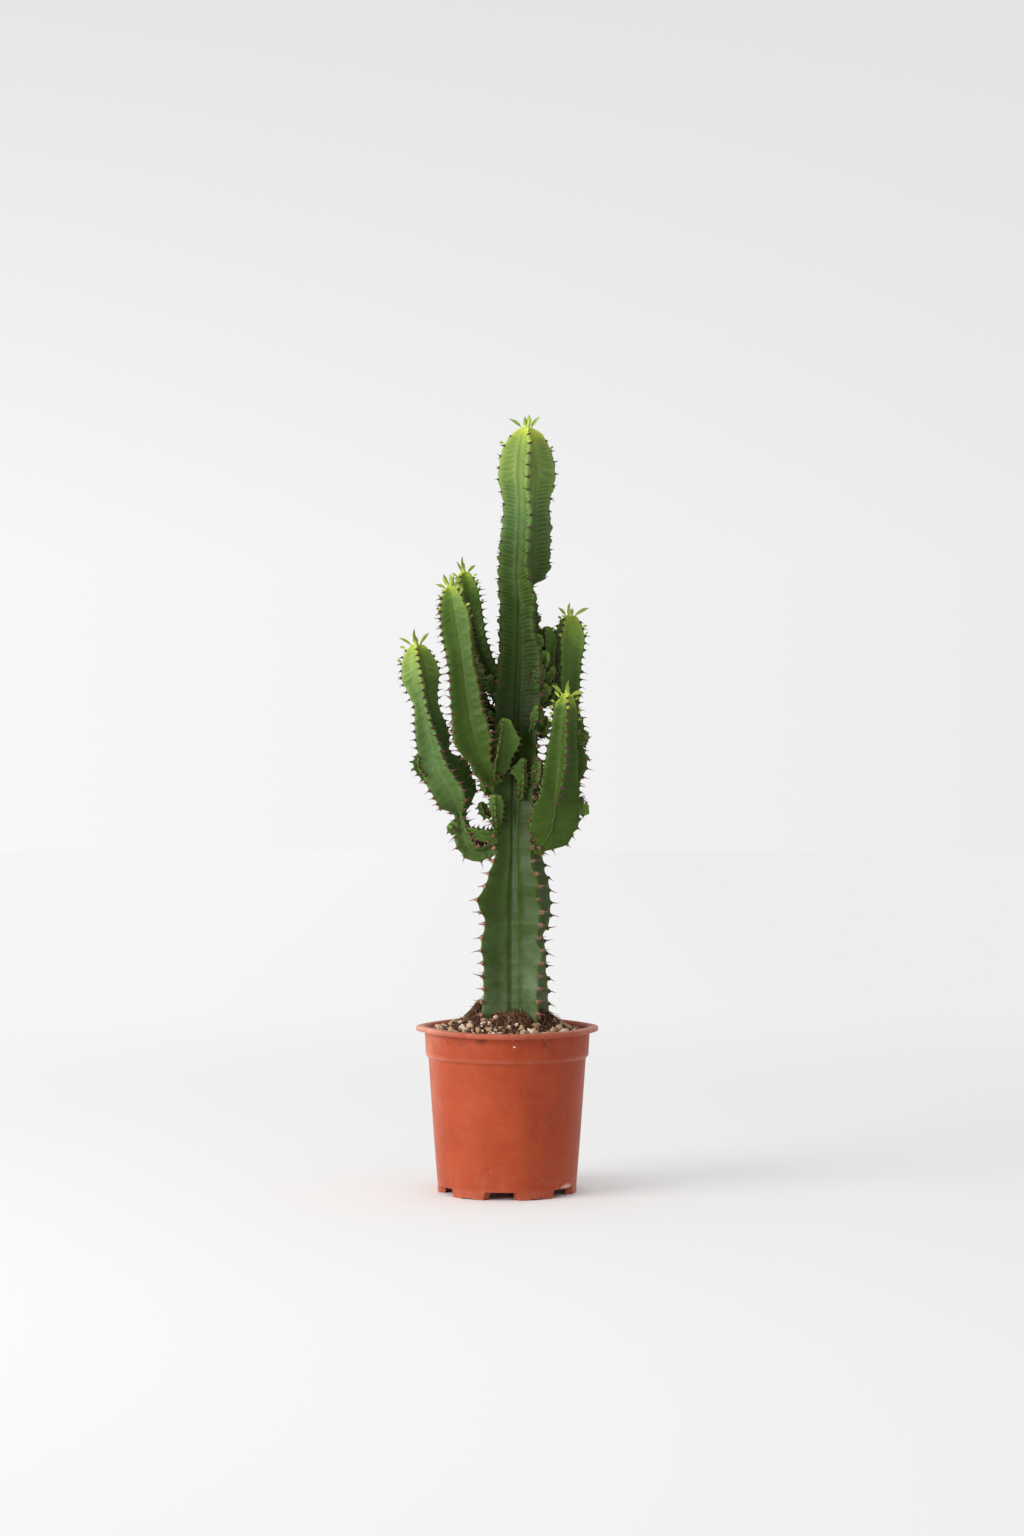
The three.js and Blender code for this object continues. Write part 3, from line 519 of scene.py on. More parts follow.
# %% Main stem values
stem_height, stem_buried, mound_height, mound_flat, soil_below_rim = 540, 34, 21, 20, 5.7
crown = pot_height - soil_below_rim + mound_height
dome_slenderness = 1.9
main_line = [(-0.063, 6.5, 0), (0.19, 6.5, 1), (0.4, 7.5, 1), (0.6, 10.5, 0), (0.8, 17, 0), (1, 18.6, 1)]
stems = {
    "main_stem": dict(
        turn=[(0, 38), (0.34, 40), (0.62, 45), (0.7, 34), (0.77, 8), (1, 4)],
        ribs=[
            [
                (0, 36), (0.125, 36), (0.15, 41), (0.172, 36), (0.22, 40), (0.243, 33), (0.262, 35),
                (0.31, 26), (0.5, 30), (0.61, 31), (0.69, 20), (0.74, 25), (0.86, 23), (0.93, 27),
            ],
            [
                (0, 42), (0.15, 39), (0.175, 34), (0.2, 43), (0.24, 45), (0.31, 34), (0.5, 26), (0.66, 22),
                (0.74, 14), (0.78, 24), (0.87, 22), (0.93, 27),
            ],
            [(0, 36), (0.24, 41), (0.31, 28), (0.5, 28), (0.71, 23), (0.86, 20), (0.93, 26)],
            [
                (0, 38), (0.13, 36), (0.168, 39), (0.197, 34), (0.235, 43), (0.277, 30), (0.31, 24),
                (0.5, 29), (0.71, 24), (0.8, 24), (0.87, 21), (0.93, 27),
            ],
        ],
        furrow=0.46,
        pitch=11.8,
    )
}
print("the main stem grows from", crown - stem_buried, "to", crown + stem_height, "mm")

# %% [markdown]
# ### Side shoots
# The branches start at the trunk's neck, where the ribs were widest, and turn up towards the light.
# Short offsets fill the gaps between them. A shoot names its bearer, the share of the bearer's
# length where it starts, the angle round it and how far out.

# %% Branch values
def shoot(name, bearer, path, turn, ribs, furrow=0.38, pitch=7.5):
    """Adds one side shoot to the list of stems."""
    stems[name] = dict(bearer=bearer, path=path, turn=turn, ribs=ribs, furrow=furrow, pitch=pitch)


shoot(
    "branch_left_outer",
    ("main_stem", 0.325, -50, 20),
    [
        (-9, 3.5, -3), (-20, 4.5, -5), (-29, 6.5, 4), (-33.5, 7.5, 21), (-39, 8.5, 42),
        (-52, 8.5, 68), (-60.5, 6.5, 99), (-67.5, 4.5, 135), (-72.5, 2.5, 164), (-75.5, 1.5, 186),
    ],
    [(0, 30), (0.35, 28), (0.55, 18), (0.8, 3), (1, 0)],
    [
        [(0, 8), (0.14, 11), (0.26, 6), (0.34, 20), (0.5, 19), (0.75, 12), (0.88, 17)],
        [
            (0, 8), (0.14, 11), (0.26, 6), (0.36, 26), (0.46, 28), (0.54, 14), (0.6, 17), (0.75, 12),
            (0.88, 18),
        ],
        [(0, 8), (0.14, 11), (0.26, 6), (0.34, 18), (0.5, 17), (0.75, 12), (0.88, 16)],
        [(0, 8), (0.14, 12), (0.26, 6), (0.33, 19), (0.46, 19), (0.58, 17), (0.75, 12), (0.88, 18)],
    ],
    furrow=0.45,
)
shoot(
    "branch_left_front",
    ("main_stem", 0.425, -50, 22),
    [
        (-7, -3.5, 7), (-15, -9.5, 22), (-23, -13.5, 47), (-28, -15.5, 79), (-33, -16.5, 118),
        (-39, -16.5, 157), (-43, -16.5, 181),
    ],
    [(0, 40), (0.4, 46), (1, 44)],
    [[(0, 9), (0.14, 14), (0.27, 24), (0.42, 20), (0.64, 17), (0.84, 19), (1, 17)]] * 4,
    furrow=0.5,
)
shoot(
    "branch_left_back",
    ("main_stem", 0.565, -137, 22),
    [(-4.5, 1, 9), (-13.5, 8, 24), (-22.5, 12, 47), (-28, 14, 72), (-32, 14, 94), (-35, 14, 117)],
    [(0, -15), (1, -25)],
    [[(0, 8), (0.2, 11), (0.5, 12), (0.75, 12.5), (0.9, 13)]] * 4,
    furrow=0.46,
)
shoot(
    "branch_right_back",
    ("main_stem", 0.375, 128, 26),
    [
        (6, 1, 1), (20, 5, 12), (28, 6, 40), (29, 6, 73), (28, 5, 106), (29, 4, 143), (31, 3, 171),
        (31, 3, 186),
    ],
    [(0, -20), (1, -30)],
    [
        [(0, 8), (0.2, 12), (0.4, 15), (0.65, 13.5), (0.9, 17)],
        [(0, 8), (0.2, 14), (0.3, 20), (0.42, 15), (0.48, 18), (0.56, 13), (0.7, 14), (0.9, 17)],
        [(0, 8), (0.2, 12), (0.4, 14), (0.65, 13), (0.9, 16)],
        [(0, 8), (0.2, 12), (0.4, 15), (0.65, 14), (0.9, 17)],
    ],
    furrow=0.46,
)
shoot(
    "branch_right_front",
    ("main_stem", 0.328, 40, 23),
    [
        (6, -1.5, -4), (14, -6.5, 4), (20, -10.5, 20), (25, -13.5, 43), (28, -15.5, 73),
        (30.5, -16.5, 103), (32.5, -16.5, 127), (33, -16.5, 139),
    ],
    [(0, 8), (0.6, 14), (1, 10)],
    [
        [(0, 4), (0.3, 7.5), (0.4, 12), (0.58, 15), (0.8, 11.5), (1, 11)],
        [(0, 4), (0.07, 7), (0.17, 21), (0.27, 24), (0.42, 20), (0.58, 16), (0.8, 12), (1, 11)],
        [(0, 4), (0.3, 9), (0.58, 13), (0.8, 11.5), (1, 11)],
        [(0, 4), (0.07, 7), (0.17, 20), (0.27, 22), (0.42, 18), (0.58, 16), (0.8, 12), (1, 11)],
    ],
    furrow=0.42,
)
print("branches and main stem", len(stems))

# %% Offset values
shoot(
    "offset_ear",
    ("main_stem", 0.432, -48, 22),
    [(-0.5, -8.5, 8), (2.5, -15.5, 26), (5.5, -17.5, 45), (6.5, -17.5, 56)],
    [(0, -10), (1, -10)],
    [
        [(0, 6), (0.5, 12), (0.85, 10)],
        [(0, 6), (0.4, 12), (0.7, 17), (0.9, 12)],
        [(0, 6), (0.5, 7)],
        [(0, 6), (0.5, 10), (0.9, 8)],
    ],
)
shoot(
    "offset_knuckle",
    ("main_stem", 0.355, -50, 21),
    [(-0.5, -5, 8), (-1, -8, 19), (-1.5, -8, 30)],
    [(0, 0), (1, 0)],
    [
        [(0, 4), (1, 5)],
        [(0, 4), (0.4, 6), (0.8, 8)],
        [(0, 4), (1, 5)],
        [(0, 4), (0.5, 5), (0.9, 8)],
    ],
)
shoot(
    "offset_bridge",
    ("main_stem", 0.34, -50, 20),
    [(-11, 0, 0), (-22, 2, 3), (-31, 4, 6)],
    [(0, 40), (1, 40)],
    [[(0, 8), (0.5, 7), (1, 6)]] * 4,
)
shoot(
    "offset_star",
    ("branch_left_outer", 0.2, -90, 5),
    [(-4, -1, 3), (-9, -2, 7)],
    [(0, 0), (1, 0)],
    [[(0, 4), (0.6, 6.5), (1, 6)]] * 4,
)
shoot(
    "offset_hook",
    ("branch_left_outer", 0.45, -70, 12),
    [(-5, 0, 1), (-10, 0, 6), (-13, 0, 14), (-11, 0, 24)],
    [(0, 20), (1, 20)],
    [[(0, 3.5), (0.5, 4), (1, 4.5)]] * 4,
)
shoot(
    "offset_sprout",
    ("main_stem", 0.4, 22, 13),
    [(2, -6, 4), (3, -11, 20), (3, -13, 38)],
    [(0, 10), (1, 10)],
    [
        [(0, 4), (1, 4.5)],
        [(0, 4), (1, 4.5)],
        [(0, 4), (1, 4)],
        [(0, 4), (0.45, 5), (0.75, 12), (0.95, 8)],
    ],
)
shoot(
    "offset_nook",
    ("main_stem", 0.42, 40, 24),
    [(2.5, 0, 2), (5.5, -2, 12), (6.5, -3, 26)],
    [(0, 30), (1, 30)],
    [[(0, 5), (0.5, 6.5), (1, 6)]] * 4,
)
shoot(
    "offset_pincer",
    ("main_stem", 0.51, 42, 26),
    [(-0.5, 2, 3), (2.5, -1, 13), (2.5, -2, 24)],
    [(0, 0), (1, 0)],
    [[(0, 4.5), (0.6, 6.5), (1, 6)]] * 4,
)
shoot(
    "offset_tuft",
    ("main_stem", 0.585, 44, 27),
    [(-1.5, 3.5, 2), (1.5, 2.5, 10), (1.5, 1.5, 20)],
    [(0, 20), (1, 20)],
    [[(0, 4.5), (0.6, 6), (1, 6)]] * 4,
)
shoot(
    "offset_shaded",
    ("main_stem", 0.565, 130, 20),
    [(6.5, -2, 3), (12.5, -2, 20), (13.5, -3, 43), (12.5, -4, 66)],
    [(0, -20), (1, -20)],
    [[(0, 6), (0.3, 8), (0.6, 7), (0.85, 9)]] * 4,
)
shoot(
    "offset_lobe",
    ("branch_right_back", 0.48, 60, 8),
    [(3, -2, -12), (6, -3, -12), (8, -3, -3)],
    [(0, 30), (1, 30)],
    [[(0, 4), (0.5, 8), (1, 8)]] * 4,
)
shoot(
    "offset_elbow",
    ("branch_right_back", 0.2, 60, 4),
    [(6, -4, -12), (13, -8, -20), (20, -11, -20)],
    [(0, 40), (1, 40)],
    [[(0, 5), (0.5, 8), (0.9, 10)]] * 4,
)
shoot(
    "offset_inner_low",
    ("main_stem", 0.535, -137, 22),
    [(-8, -6.5, 2), (-16, -9.5, 13), (-21, -11.5, 30), (-22, -12.5, 42)],
    [(0, 0), (1, 0)],
    [[(0, 4), (0.5, 5), (1, 5)]] * 4,
)
shoot(
    "offset_inner_high",
    ("main_stem", 0.555, -95, 11),
    [(-7, -1, 3), (-11, -1, 14), (-14, -1, 26)],
    [(0, 30), (1, 30)],
    [[(0, 4), (0.6, 6), (1, 5.5)]] * 4,
)
print("all stems", len(stems))

# %% [markdown]
# ### Knobs
# Between the big shoots sit buds that have only just broken from the old ribs: short, crowded and
# toothed. They are shoots like the others, made by a loop, and their wide and narrow ribs take turns.
# Each is given by its bearer, the share of the bearer's length where it starts, the angle round it, how
# far out, how far it leans to the right and back, its height and its girth.

# %% Knob values
knobs = [
    ("main_stem", 0.63, 74, 14, 4, -3, 22, 6.5), ("main_stem", 0.605, 62, 19, 9, -4, 20, 7.5),
    ("main_stem", 0.585, 78, 20, 14, -3, 17, 6.0), ("main_stem", 0.555, 60, 22, 7, -4, 19, 6.5),
    ("main_stem", 0.55, 84, 22, 14, 0, 22, 6.0), ("main_stem", 0.5, 66, 24, 6, -5, 20, 6.0),
    ("main_stem", 0.51, -62, 21, -6, -4, 18, 5.0), ("main_stem", 0.47, -40, 24, 1, -7, 17, 5.5),
    ("main_stem", 0.445, -66, 22, -8, -3, 16, 6.0), ("main_stem", 0.405, -62, 22, -9, -3, 15, 6.5),
    ("main_stem", 0.37, -80, 22, -10, 1, 14, 6.0), ("branch_right_back", 0.32, 90, 10, 5, -2, 8, 6.5),
]
for i, (bearer, share, azimuth, out, lean_right, lean_back, tall, girth) in enumerate(knobs):
    path = [(lean_right * 0.6, lean_back * 0.6, tall * 0.35), (lean_right, lean_back, tall)]
    wide = [girth * (1.15 if (k + i) % 2 else 0.8) for k in range(4)]
    ribs = [[(0, 3), (0.35, girth * 0.9), (0.7, one), (1, girth * 0.8)] for one in wide]
    turn = [(0, 25 * i), (1, 25 * i + 15)]
    shoot(f"knob_{i + 1}", (bearer, share, azimuth, out), path, turn, ribs, furrow=0.28)
print("knobs", len(knobs))

# %% [markdown]
# ## Lines that stems grow along
# A uniform Catmull-Rom spline passes through every given point and stays smooth. The front of a
# stem is the direction towards -Y, made square to the stem's own direction, so ribs keep facing the
# same way as a stem bends.

# %% Centrelines
def smooth_line(points, steps=60):
    """In each span, a cubic whose slope at either end is half the gap between that end's neighbours."""
    p = np.array(points, float)
    p = np.vstack([2 * p[0] - p[1], p, 2 * p[-1] - p[-2]])
    a, b, c, d = (p[k : len(p) - 3 + k, None] for k in range(4))
    u = np.linspace(0, 1, steps, endpoint=False)[None, :, None]
    ease = u * u * (3 - 2 * u)
    line = b * (1 - ease) + c * ease + (c - a) / 2 * (u**3 - 2 * u**2 + u) + (d - b) / 2 * (u**3 - u**2)
    return np.vstack([line.reshape(-1, 3), p[-2]])


def run_along(line):
    """Length of the line up to each of its points."""
    return np.concatenate([[0], np.cumsum(np.linalg.norm(np.diff(line, axis=0), axis=1))])


def frames_at(line, share):
    """Middle, direction, front and right of a line at shares of its length."""
    run = run_along(line)
    slope = np.gradient(line, run, axis=0)
    at = share * run[-1]
    centre, up = (np.stack([np.interp(at, run, v[:, k]) for k in range(3)], -1) for v in (line, slope))
    up /= np.linalg.norm(up, axis=-1, keepdims=True)
    front = np.array([0.0, -1.0, 0.0]) + up * up[..., 1:2]
    front /= np.linalg.norm(front, axis=-1, keepdims=True)
    return centre, up, front, np.cross(up, front)


def eased(stops, share):
    """Value at a share of the length, going from each stop to the next by 3u2 - 2u3."""
    at, value = np.array(stops, float).T
    place = np.interp(share, at, np.arange(len(at)))
    low = np.minimum(place.astype(int), len(at) - 2)
    u = place - low
    return value[low] + (value[low + 1] - value[low]) * u * u * (3 - 2 * u)


for name, stem in stems.items():
    if name == "main_stem":
        rise = np.array([(x, y, share * stem_height) for share, x, y in main_line])
        rise[0, 2] = -stem_buried
        points = rise + [pot_axis[0], pot_axis[1], crown]
    else:
        parent, share, azimuth, out = stem["bearer"]
        centre, _, front, right = frames_at(stems[parent]["line"], np.array([share]))
        angle = math.radians(azimuth)
        foot = (centre + out * (math.cos(angle) * front + math.sin(angle) * right))[0]
        points = np.vstack([foot, foot + np.array(stem["path"])])
    stem["line"] = smooth_line(points)
    stem["length"] = run_along(stem["line"])[-1]
    stem["small"] = name.startswith(("offset_", "knob_"))
    if stem["small"]:
        stem["pitch"] = 6.5
print({name: round(stem["length"]) for name, stem in stems.items()})

# %% [markdown]
# ## Rows of cushions along the ribs
# Each rib bears a spine cushion every centimetre or so. They are crowded near the tip, where the
# stem is still lengthening, and further apart below. Counting cushions from the tip gives a phase
# that is a whole number at every cushion. The same phase drives the notches of the rib's edge and
# the ripples across its sides, because all of them grow from the same joints of the stem.

# %% Phase of the cushions
def cushion_phase(stem, from_tip):
    """Cushions passed on the way down: the gap between them grows as full - closer e^(-distance / ease)."""
    full = stem["pitch"]
    closer, ease = full * 0.42, 22.0
    gain = np.log((full - closer * np.exp(-from_tip / ease)) / (full - closer))
    return from_tip / full + ease / full * gain


start_of_rib = [0.0, 0.5, 0.12, 0.04]


def margin(stem, from_tip, rib):
    """How far the rib's edge stands out. Old edges have a tooth under each cushion, and young ones
    step out just below the cushion and slope back in to the next."""
    phase = cushion_phase(stem, from_tip) - start_of_rib[rib]
    t = phase - np.floor(phase)
    tooth = np.abs(2 * t - 1) ** 1.7
    step = smooth_step(t, 0.04, 0.24) * (1 - smooth_step(t, 0.3, 1.02))
    number = np.floor(phase + 0.5)
    uneven = 0.75 + 0.5 * np.sin(number * 2.7 + rib * 1.9) * np.sin(number * 1.3 + rib)
    if stem is stems["main_stem"] and rib == 1:
        uneven = uneven + 1.6 * np.exp(-(((from_tip - 162) / 22) ** 2))
    young = 1 - smooth_step(from_tip, 40, 110)
    hooked = (1 - smooth_step(from_tip, 190, 300)) * stem["stepped"]
    height = hooked * (0.4 * tooth * young + step * (1 - 0.5 * young)) + (1 - hooked) * tooth
    worn = 1 - 0.2 * smooth_step(from_tip, 260, 340) * stem["stepped"]
    return height * stem["tooth"] * uneven * worn


for name, stem in stems.items():
    stem["stepped"] = 1.0 if name == "main_stem" else 0.35
    stem["tooth"] = 2.8 if name == "main_stem" else (3.3 if stem["small"] else 2.4)
whole = stems["main_stem"]
print("cushions on a rib of the main stem:", int(cushion_phase(whole, whole["length"])))

# %% [markdown]
# ## Skin of a stem
# The skin could be sculpted, but a formula keeps every rib alike in the way that growth does. Each
# cross-section joins four thin rib edges by curves that sag into the furrows between them. The
# edges are rounded and a little swollen. Ripples run from the edges in towards the furrows.

# %% Rib edges at a height
def rib_edges(name, share):
    """Middle, direction, front and right, then each rib's edge point, outward and sideways directions."""
    stem = stems[name]
    centre, up, front, right = frames_at(stem["line"], share)
    from_tip = (1 - share) * stem["length"]
    widest = max(eased(rib, np.array([0.93]))[0] for rib in stem["ribs"])
    round_off = min(widest * dome_slenderness, stem["length"] * 0.4)
    left = np.clip(from_tip / round_off, 0, 1)
    dome = (1 - (1 - left) ** 2) ** 0.44
    turn = np.radians(eased(stem["turn"], share))
    seed = sum(map(ord, name))
    reach, sway, present = [], [], []
    for k in range(4):
        give = bumps(np.stack([from_tip, np.full_like(from_tip, 500.0 * k)], -1), 55, seed + k)
        beat = np.sin(np.pi * cushion_phase(stem, from_tip) + 1.3 * k + 0.8 * give)
        wide = eased(stem["ribs"][k], share)
        total = sum(eased(rib, share) for rib in stem["ribs"])
        stands_out = smooth_step(wide / total, 0.15, 0.21)
        wide = wide * stands_out + np.minimum(wide, total / 4 * stem["furrow"] * 0.9) * (1 - stands_out)
        present.append(stands_out)
        reach.append((wide + margin(stem, from_tip, k) * stands_out - 0.6) * dome)
        sway.append((1.1 * give + 0.55 * beat) * dome * (0.5 if stem["small"] else 1))
    reach, sway = np.maximum(np.array(reach).T, 0.05), np.array(sway).T
    angle = turn[:, None] + np.arange(4) * np.pi / 2
    out = np.stack([np.cos(angle), np.sin(angle)], -1)
    side = np.stack([-out[..., 1], out[..., 0]], -1)
    tip = out * reach[..., None] + side * sway[..., None]
    return dict(
        centre=centre, up=up, front=front, right=right, tip=tip, out=out, side=side, dome=dome, reach=reach,
        from_tip=from_tip, turn=turn, present=np.array(present).T,
    )


def to_space(at, flat):
    """Section coordinates (towards the front, towards the right) to millimetres in space."""
    return at["centre"][:, None] + at["front"][:, None] * flat[..., :1] + at["right"][:, None] * flat[..., 1:]


# %% Age of the skin, with painted shade
# Stops of (distance from the tip in millimetres, age with painted shade), where 0 is the palest new growth
# and 1 the darkest green. Deep among the branches, where their shade falls, the main stem is painted darkest,
# which is painted shade, and its trunk is paler again.
ageing = {
    "main_stem": [
        (0, 0.02), (8, 0.12), (18, 0.24), (60, 0.34), (95, 0.46), (125, 0.58), (190, 0.72), (255, 0.95),
        (330, 0.88), (400, 0.77), (560, 0.7),
    ],
    "branch_left_outer": [(0, 0.04), (12, 0.2), (40, 0.34), (90, 0.44), (140, 0.53), (230, 0.6)],
    "branch_left_front": [(0, 0.06), (6, 0.22), (14, 0.38), (40, 0.44), (75, 0.58), (110, 0.64), (200, 0.6)],
    "branch_left_back": [(0, 0.1), (12, 0.32), (40, 0.56), (90, 0.74)],
    "branch_right_back": [(0, 0.08), (8, 0.24), (24, 0.38), (60, 0.5), (120, 0.62)],
    "branch_right_front": [(0, 0.04), (8, 0.2), (16, 0.48), (40, 0.66), (90, 0.68), (150, 0.62)],
}
offset_ageing = [(0, 0.34), (10, 0.48), (40, 0.62)]


def age_of(name, from_tip):
    """Straight lines from stop to stop."""
    return np.interp(from_tip, *np.array(ageing.get(name, offset_ageing)).T)


def trunk_of(name, from_tip):
    """1 on the old lower part of the main stem, 0 elsewhere."""
    return smooth_step(from_tip, 255, 400) * (name == "main_stem")


print("age of the trunk's skin", age_of("main_stem", 540.0))

# %% Cross-sections
cap_steps, ripple_count, pull = 5, 3.0, 2.6
edge_half, small_edge_half, edge_flat = 1.35, 0.8, 0.8


def stem_skin(name, share, flank_steps):
    """Rows along the stem and columns round it: an edge cap, then the flank to the next rib, four times.
    A flank is a conic from edge to edge through the furrow, pulled towards its corner by a weight."""
    stem = stems[name]
    at = rib_edges(name, share)
    dome = at["dome"][:, None, None]
    phase = cushion_phase(stem, at["from_tip"])
    deeper = 0.07 * (1 - smooth_step(at["from_tip"], 200, 320)) * (name == "main_stem")
    furrow = (at["reach"].mean(1) * (stem["furrow"] - deeper))[:, None]
    rounded_edge = np.radians(np.linspace(-80, 80, cap_steps))[:, None]
    flats, edges, halves = [], [], []
    for k in range(4):
        lobe = np.sin(np.pi * (phase - start_of_rib[k])) ** 2
        swollen = 1 + 0.75 * lobe * (1 - smooth_step(at["from_tip"], 210, 300)) * stem["stepped"]
        half = small_edge_half if stem["small"] else edge_half
        halves.append((half * swollen)[:, None, None] * np.maximum(dome, 0.15))
    for k in range(4):
        n = (k + 1) % 4
        half, next_half = halves[k], halves[n]
        tip, out, side = (at[key][:, k, None] for key in ("tip", "out", "side"))
        next_tip, next_out, next_side = (at[key][:, n, None] for key in ("tip", "out", "side"))
        inset = out * half * edge_flat
        cap = tip + inset * (np.cos(rounded_edge) - 1) + side * half * np.sin(rounded_edge)
        start = tip - inset + side * half
        end = next_tip - next_out * next_half * edge_flat - next_side * next_half
        angle = at["turn"] + (k + 0.5) * np.pi / 2
        low = np.stack([np.cos(angle), np.sin(angle)], -1)[:, None] * furrow[..., None]
        control = ((2 + 2 * pull) * low - start - end) / (2 * pull)
        even = np.linspace(0, 1, flank_steps + 2)[1:-1]
        u = 0.35 * (1 - np.cos(np.pi * even)) / 2 + 0.65 * even
        v = u[:, None]
        weight = 2 * pull * v * (1 - v)
        flank = ((1 - v) ** 2 * start + weight * control + v**2 * end) / ((1 - v) ** 2 + weight + v**2)
        flats += [cap, flank]
        edges += [np.ones(cap_steps), np.abs(2 * u - 1)]
    return at, np.concatenate(flats, 1), np.concatenate(edges)


def skin_relief(name, at, edge, flank_steps):
    """What pushes the skin out at each row and column, in mm: ripples and swelling, then the folds
    beside a furrow. Then how much the ripples fade, their height, and how much of the rib is there."""
    stem = stems[name]
    main, small = name == "main_stem", stem["small"]
    from_tip, dome = at["from_tip"][:, None], at["dome"][:, None]
    columns = np.arange(len(edge))
    block = cap_steps + flank_steps
    rib = ((columns + flank_steps / 2) // block).astype(int) % 4
    other_rib = (rib + (columns % block >= cap_steps)) % 4
    present = at["present"][:, rib] * at["present"][:, other_rib]
    phase = cushion_phase(stem, from_tip) - np.array(start_of_rib)[rib]
    swing = 0.35 * np.sin(phase * 0.9 + rib * 2.1)
    wave = np.sin(2 * np.pi * (ripple_count * phase + 2.3 * edge - 0.7 * edge**2 + swing))
    wave = np.sign(wave) * np.abs(wave) ** 0.8
    across = smooth_step(edge, 0.16, 0.6) * (1 - 0.7 * smooth_step(edge, 0.9, 1.0))
    fading = 1 - smooth_step(from_tip, 190, 300) if main else 1 - 0.75 * smooth_step(from_tip, 40, 110)
    fading = fading * smooth_step(from_tip, 3, 22) * (0.5 if small else 1.0)
    across = across * fading
    t = phase - np.floor(phase)
    swell = 0.5 * np.sin(np.pi * t) ** 2 * smooth_step(edge, 0.35, 0.85) * (1 - smooth_step(edge, 0.93, 1.0))
    fold = 1.3 * np.exp(-(((edge - 0.36) / 0.17) ** 2)) - 0.9 * np.exp(-((edge / 0.07) ** 2))
    fold = fold * at["reach"].mean(1)[:, None] / 30 * present * (1 if main else 0.3)
    push = wave * across * (0.58 if main else 0.26) + swell * dome * (0.4 if small else 0.8)
    return push, fold, fading, wave * across, present


def build_stem(name):
    """The skin with its relief pushed out along the section's own normals, and values for its material."""
    stem = stems[name]
    length = stem["length"]
    row_gap, flank_steps = (0.9, 11) if stem["small"] else (0.8, 20)
    widest = max(eased(rib, np.array([0.93]))[0] for rib in stem["ribs"])
    body = 1 - min(widest * dome_slenderness, length * 0.4) / length
    even = np.linspace(0, body, int(length * body / row_gap), endpoint=False)
    share = np.concatenate([even, body + (1 - body) * np.sin(np.linspace(0, np.pi / 2, 34)[:-1])])
    at, flat, edge = stem_skin(name, share, flank_steps)
    along = np.roll(flat, -1, axis=1) - np.roll(flat, 1, axis=1)
    normal = np.stack([along[..., 1], -along[..., 0]], -1)
    normal /= np.linalg.norm(normal, axis=-1, keepdims=True)
    push, fold, fading, ripple, present = skin_relief(name, at, edge, flank_steps)
    lumpy = (0.15 + 0.2 * fading) * bumps(to_space(at, flat), 17, 5) * at["dome"][:, None]
    push = push + lumpy * (0.4 if stem["small"] else 1) + fold
    place = to_space(at, flat + normal * push[..., None])
    rows, columns = place.shape[:2]
    ends = [stem["line"][0], stem["line"][-1] + at["up"][-1] * 0.3]
    points = np.concatenate([place.reshape(-1, 3), ends])

    def per_point(value, low=0, high=0):
        """The same value for a row, a column or all of them, then one each for the two closing points."""
        return np.concatenate([np.broadcast_to(value, (rows, columns)).ravel(), [low, high]])

    from_tip = at["from_tip"][:, None]
    return make_mesh(
        "skin_" + name,
        points,
        capped_faces(rows, columns),
        age=per_point(age_of(name, from_tip), 1, 0),
        trunk=per_point(trunk_of(name, from_tip)),
        edge=per_point(0.6 + (edge - 0.6) * present),
        ripple=per_point(ripple),
        shaded=per_point(float(name not in ("main_stem", "branch_left_outer"))),
    )


print("ripples lie about", round(stems["main_stem"]["pitch"] / ripple_count, 1), "mm apart")

# %% [markdown]
# ### Stem skin
# The green skin of a succulent does the work of leaves. New growth is yellow-green and ages to a deep green.
# It has a thin wax coat, which gives broad soft highlights and a grey bloom low on the trunk. Pale bands
# follow the folds either side of each furrow, pale marbling with a painted highlight in it, and each furrow
# is painted darker, painted shade, with a grey line on the trunk. The ripples are painted lighter on their
# crests than in between, painted light and shade. The colours follow the skin's age, with painted shade deep
# among the branches, the place between furrow and rib edge, and the ripples, all stored on the points. A
# lighter or darker green is the same green multiplied by a few numbers, so that it follows the skin's age as
# well.

# %% Waxy succulent skin
skin, tree, shader, spot = new_material("waxy_succulent_skin", IOR=1.45, Specular_IOR_Level=0.2)
stored = ("age", "trunk", "edge", "ripple", "shaded")
age, trunk, edge, ripple, shaded = (add(tree, "Attribute", attribute_name=key, out="Fac") for key in stored)
aged = add(tree, "Math", age, blotches(tree, spot, 24, least=-0.08, most=0.08, detail=3), use_clamp=True)
greens = [
    (0.0, "#CDD356"), (0.08, "#A3B348"), (0.16, "#849943"), (0.27, "#6F8742"),
    (0.42, "#4F6936"), (0.6, "#3B501D"), (0.8, "#2E4112"), (1.0, "#20300B"),
]
green = add(tree, "ValToRGB", aged, stops=greens)
green = layered(tree, green, (shaded, layered(tree, green, (1.0, (0.96, 1.0, 0.62, 1)), blend="MULTIPLY")))
lighter = layered(tree, green, (1.0, (1.4, 1.36, 1.45, 1)), blend="MULTIPLY")
darker = layered(tree, green, (1.0, (0.6, 0.66, 0.55, 1)), blend="MULTIPLY")
mottle = blotches(tree, spot, 7, 0.3, 0.7, detail=5, roughness=0.62)
green = layered(tree, layered(tree, green, (0.25, darker)), (mottle, layered(tree, green, (0.25, lighter))))
# Painted light and shade on the ripples: crests lighter, hollows darker.
ripple_light_and_shade = layered(tree, darker, (add(tree, "MapRange", ripple, -1.0, 1.0), lighter))
ripple_light_and_shade_share = times(tree, add(tree, "Math", ripple, operation="ABSOLUTE"), 0.75)
green = layered(tree, green, (ripple_light_and_shade_share, ripple_light_and_shade))
print("greens from tip to trunk:", len(greens))
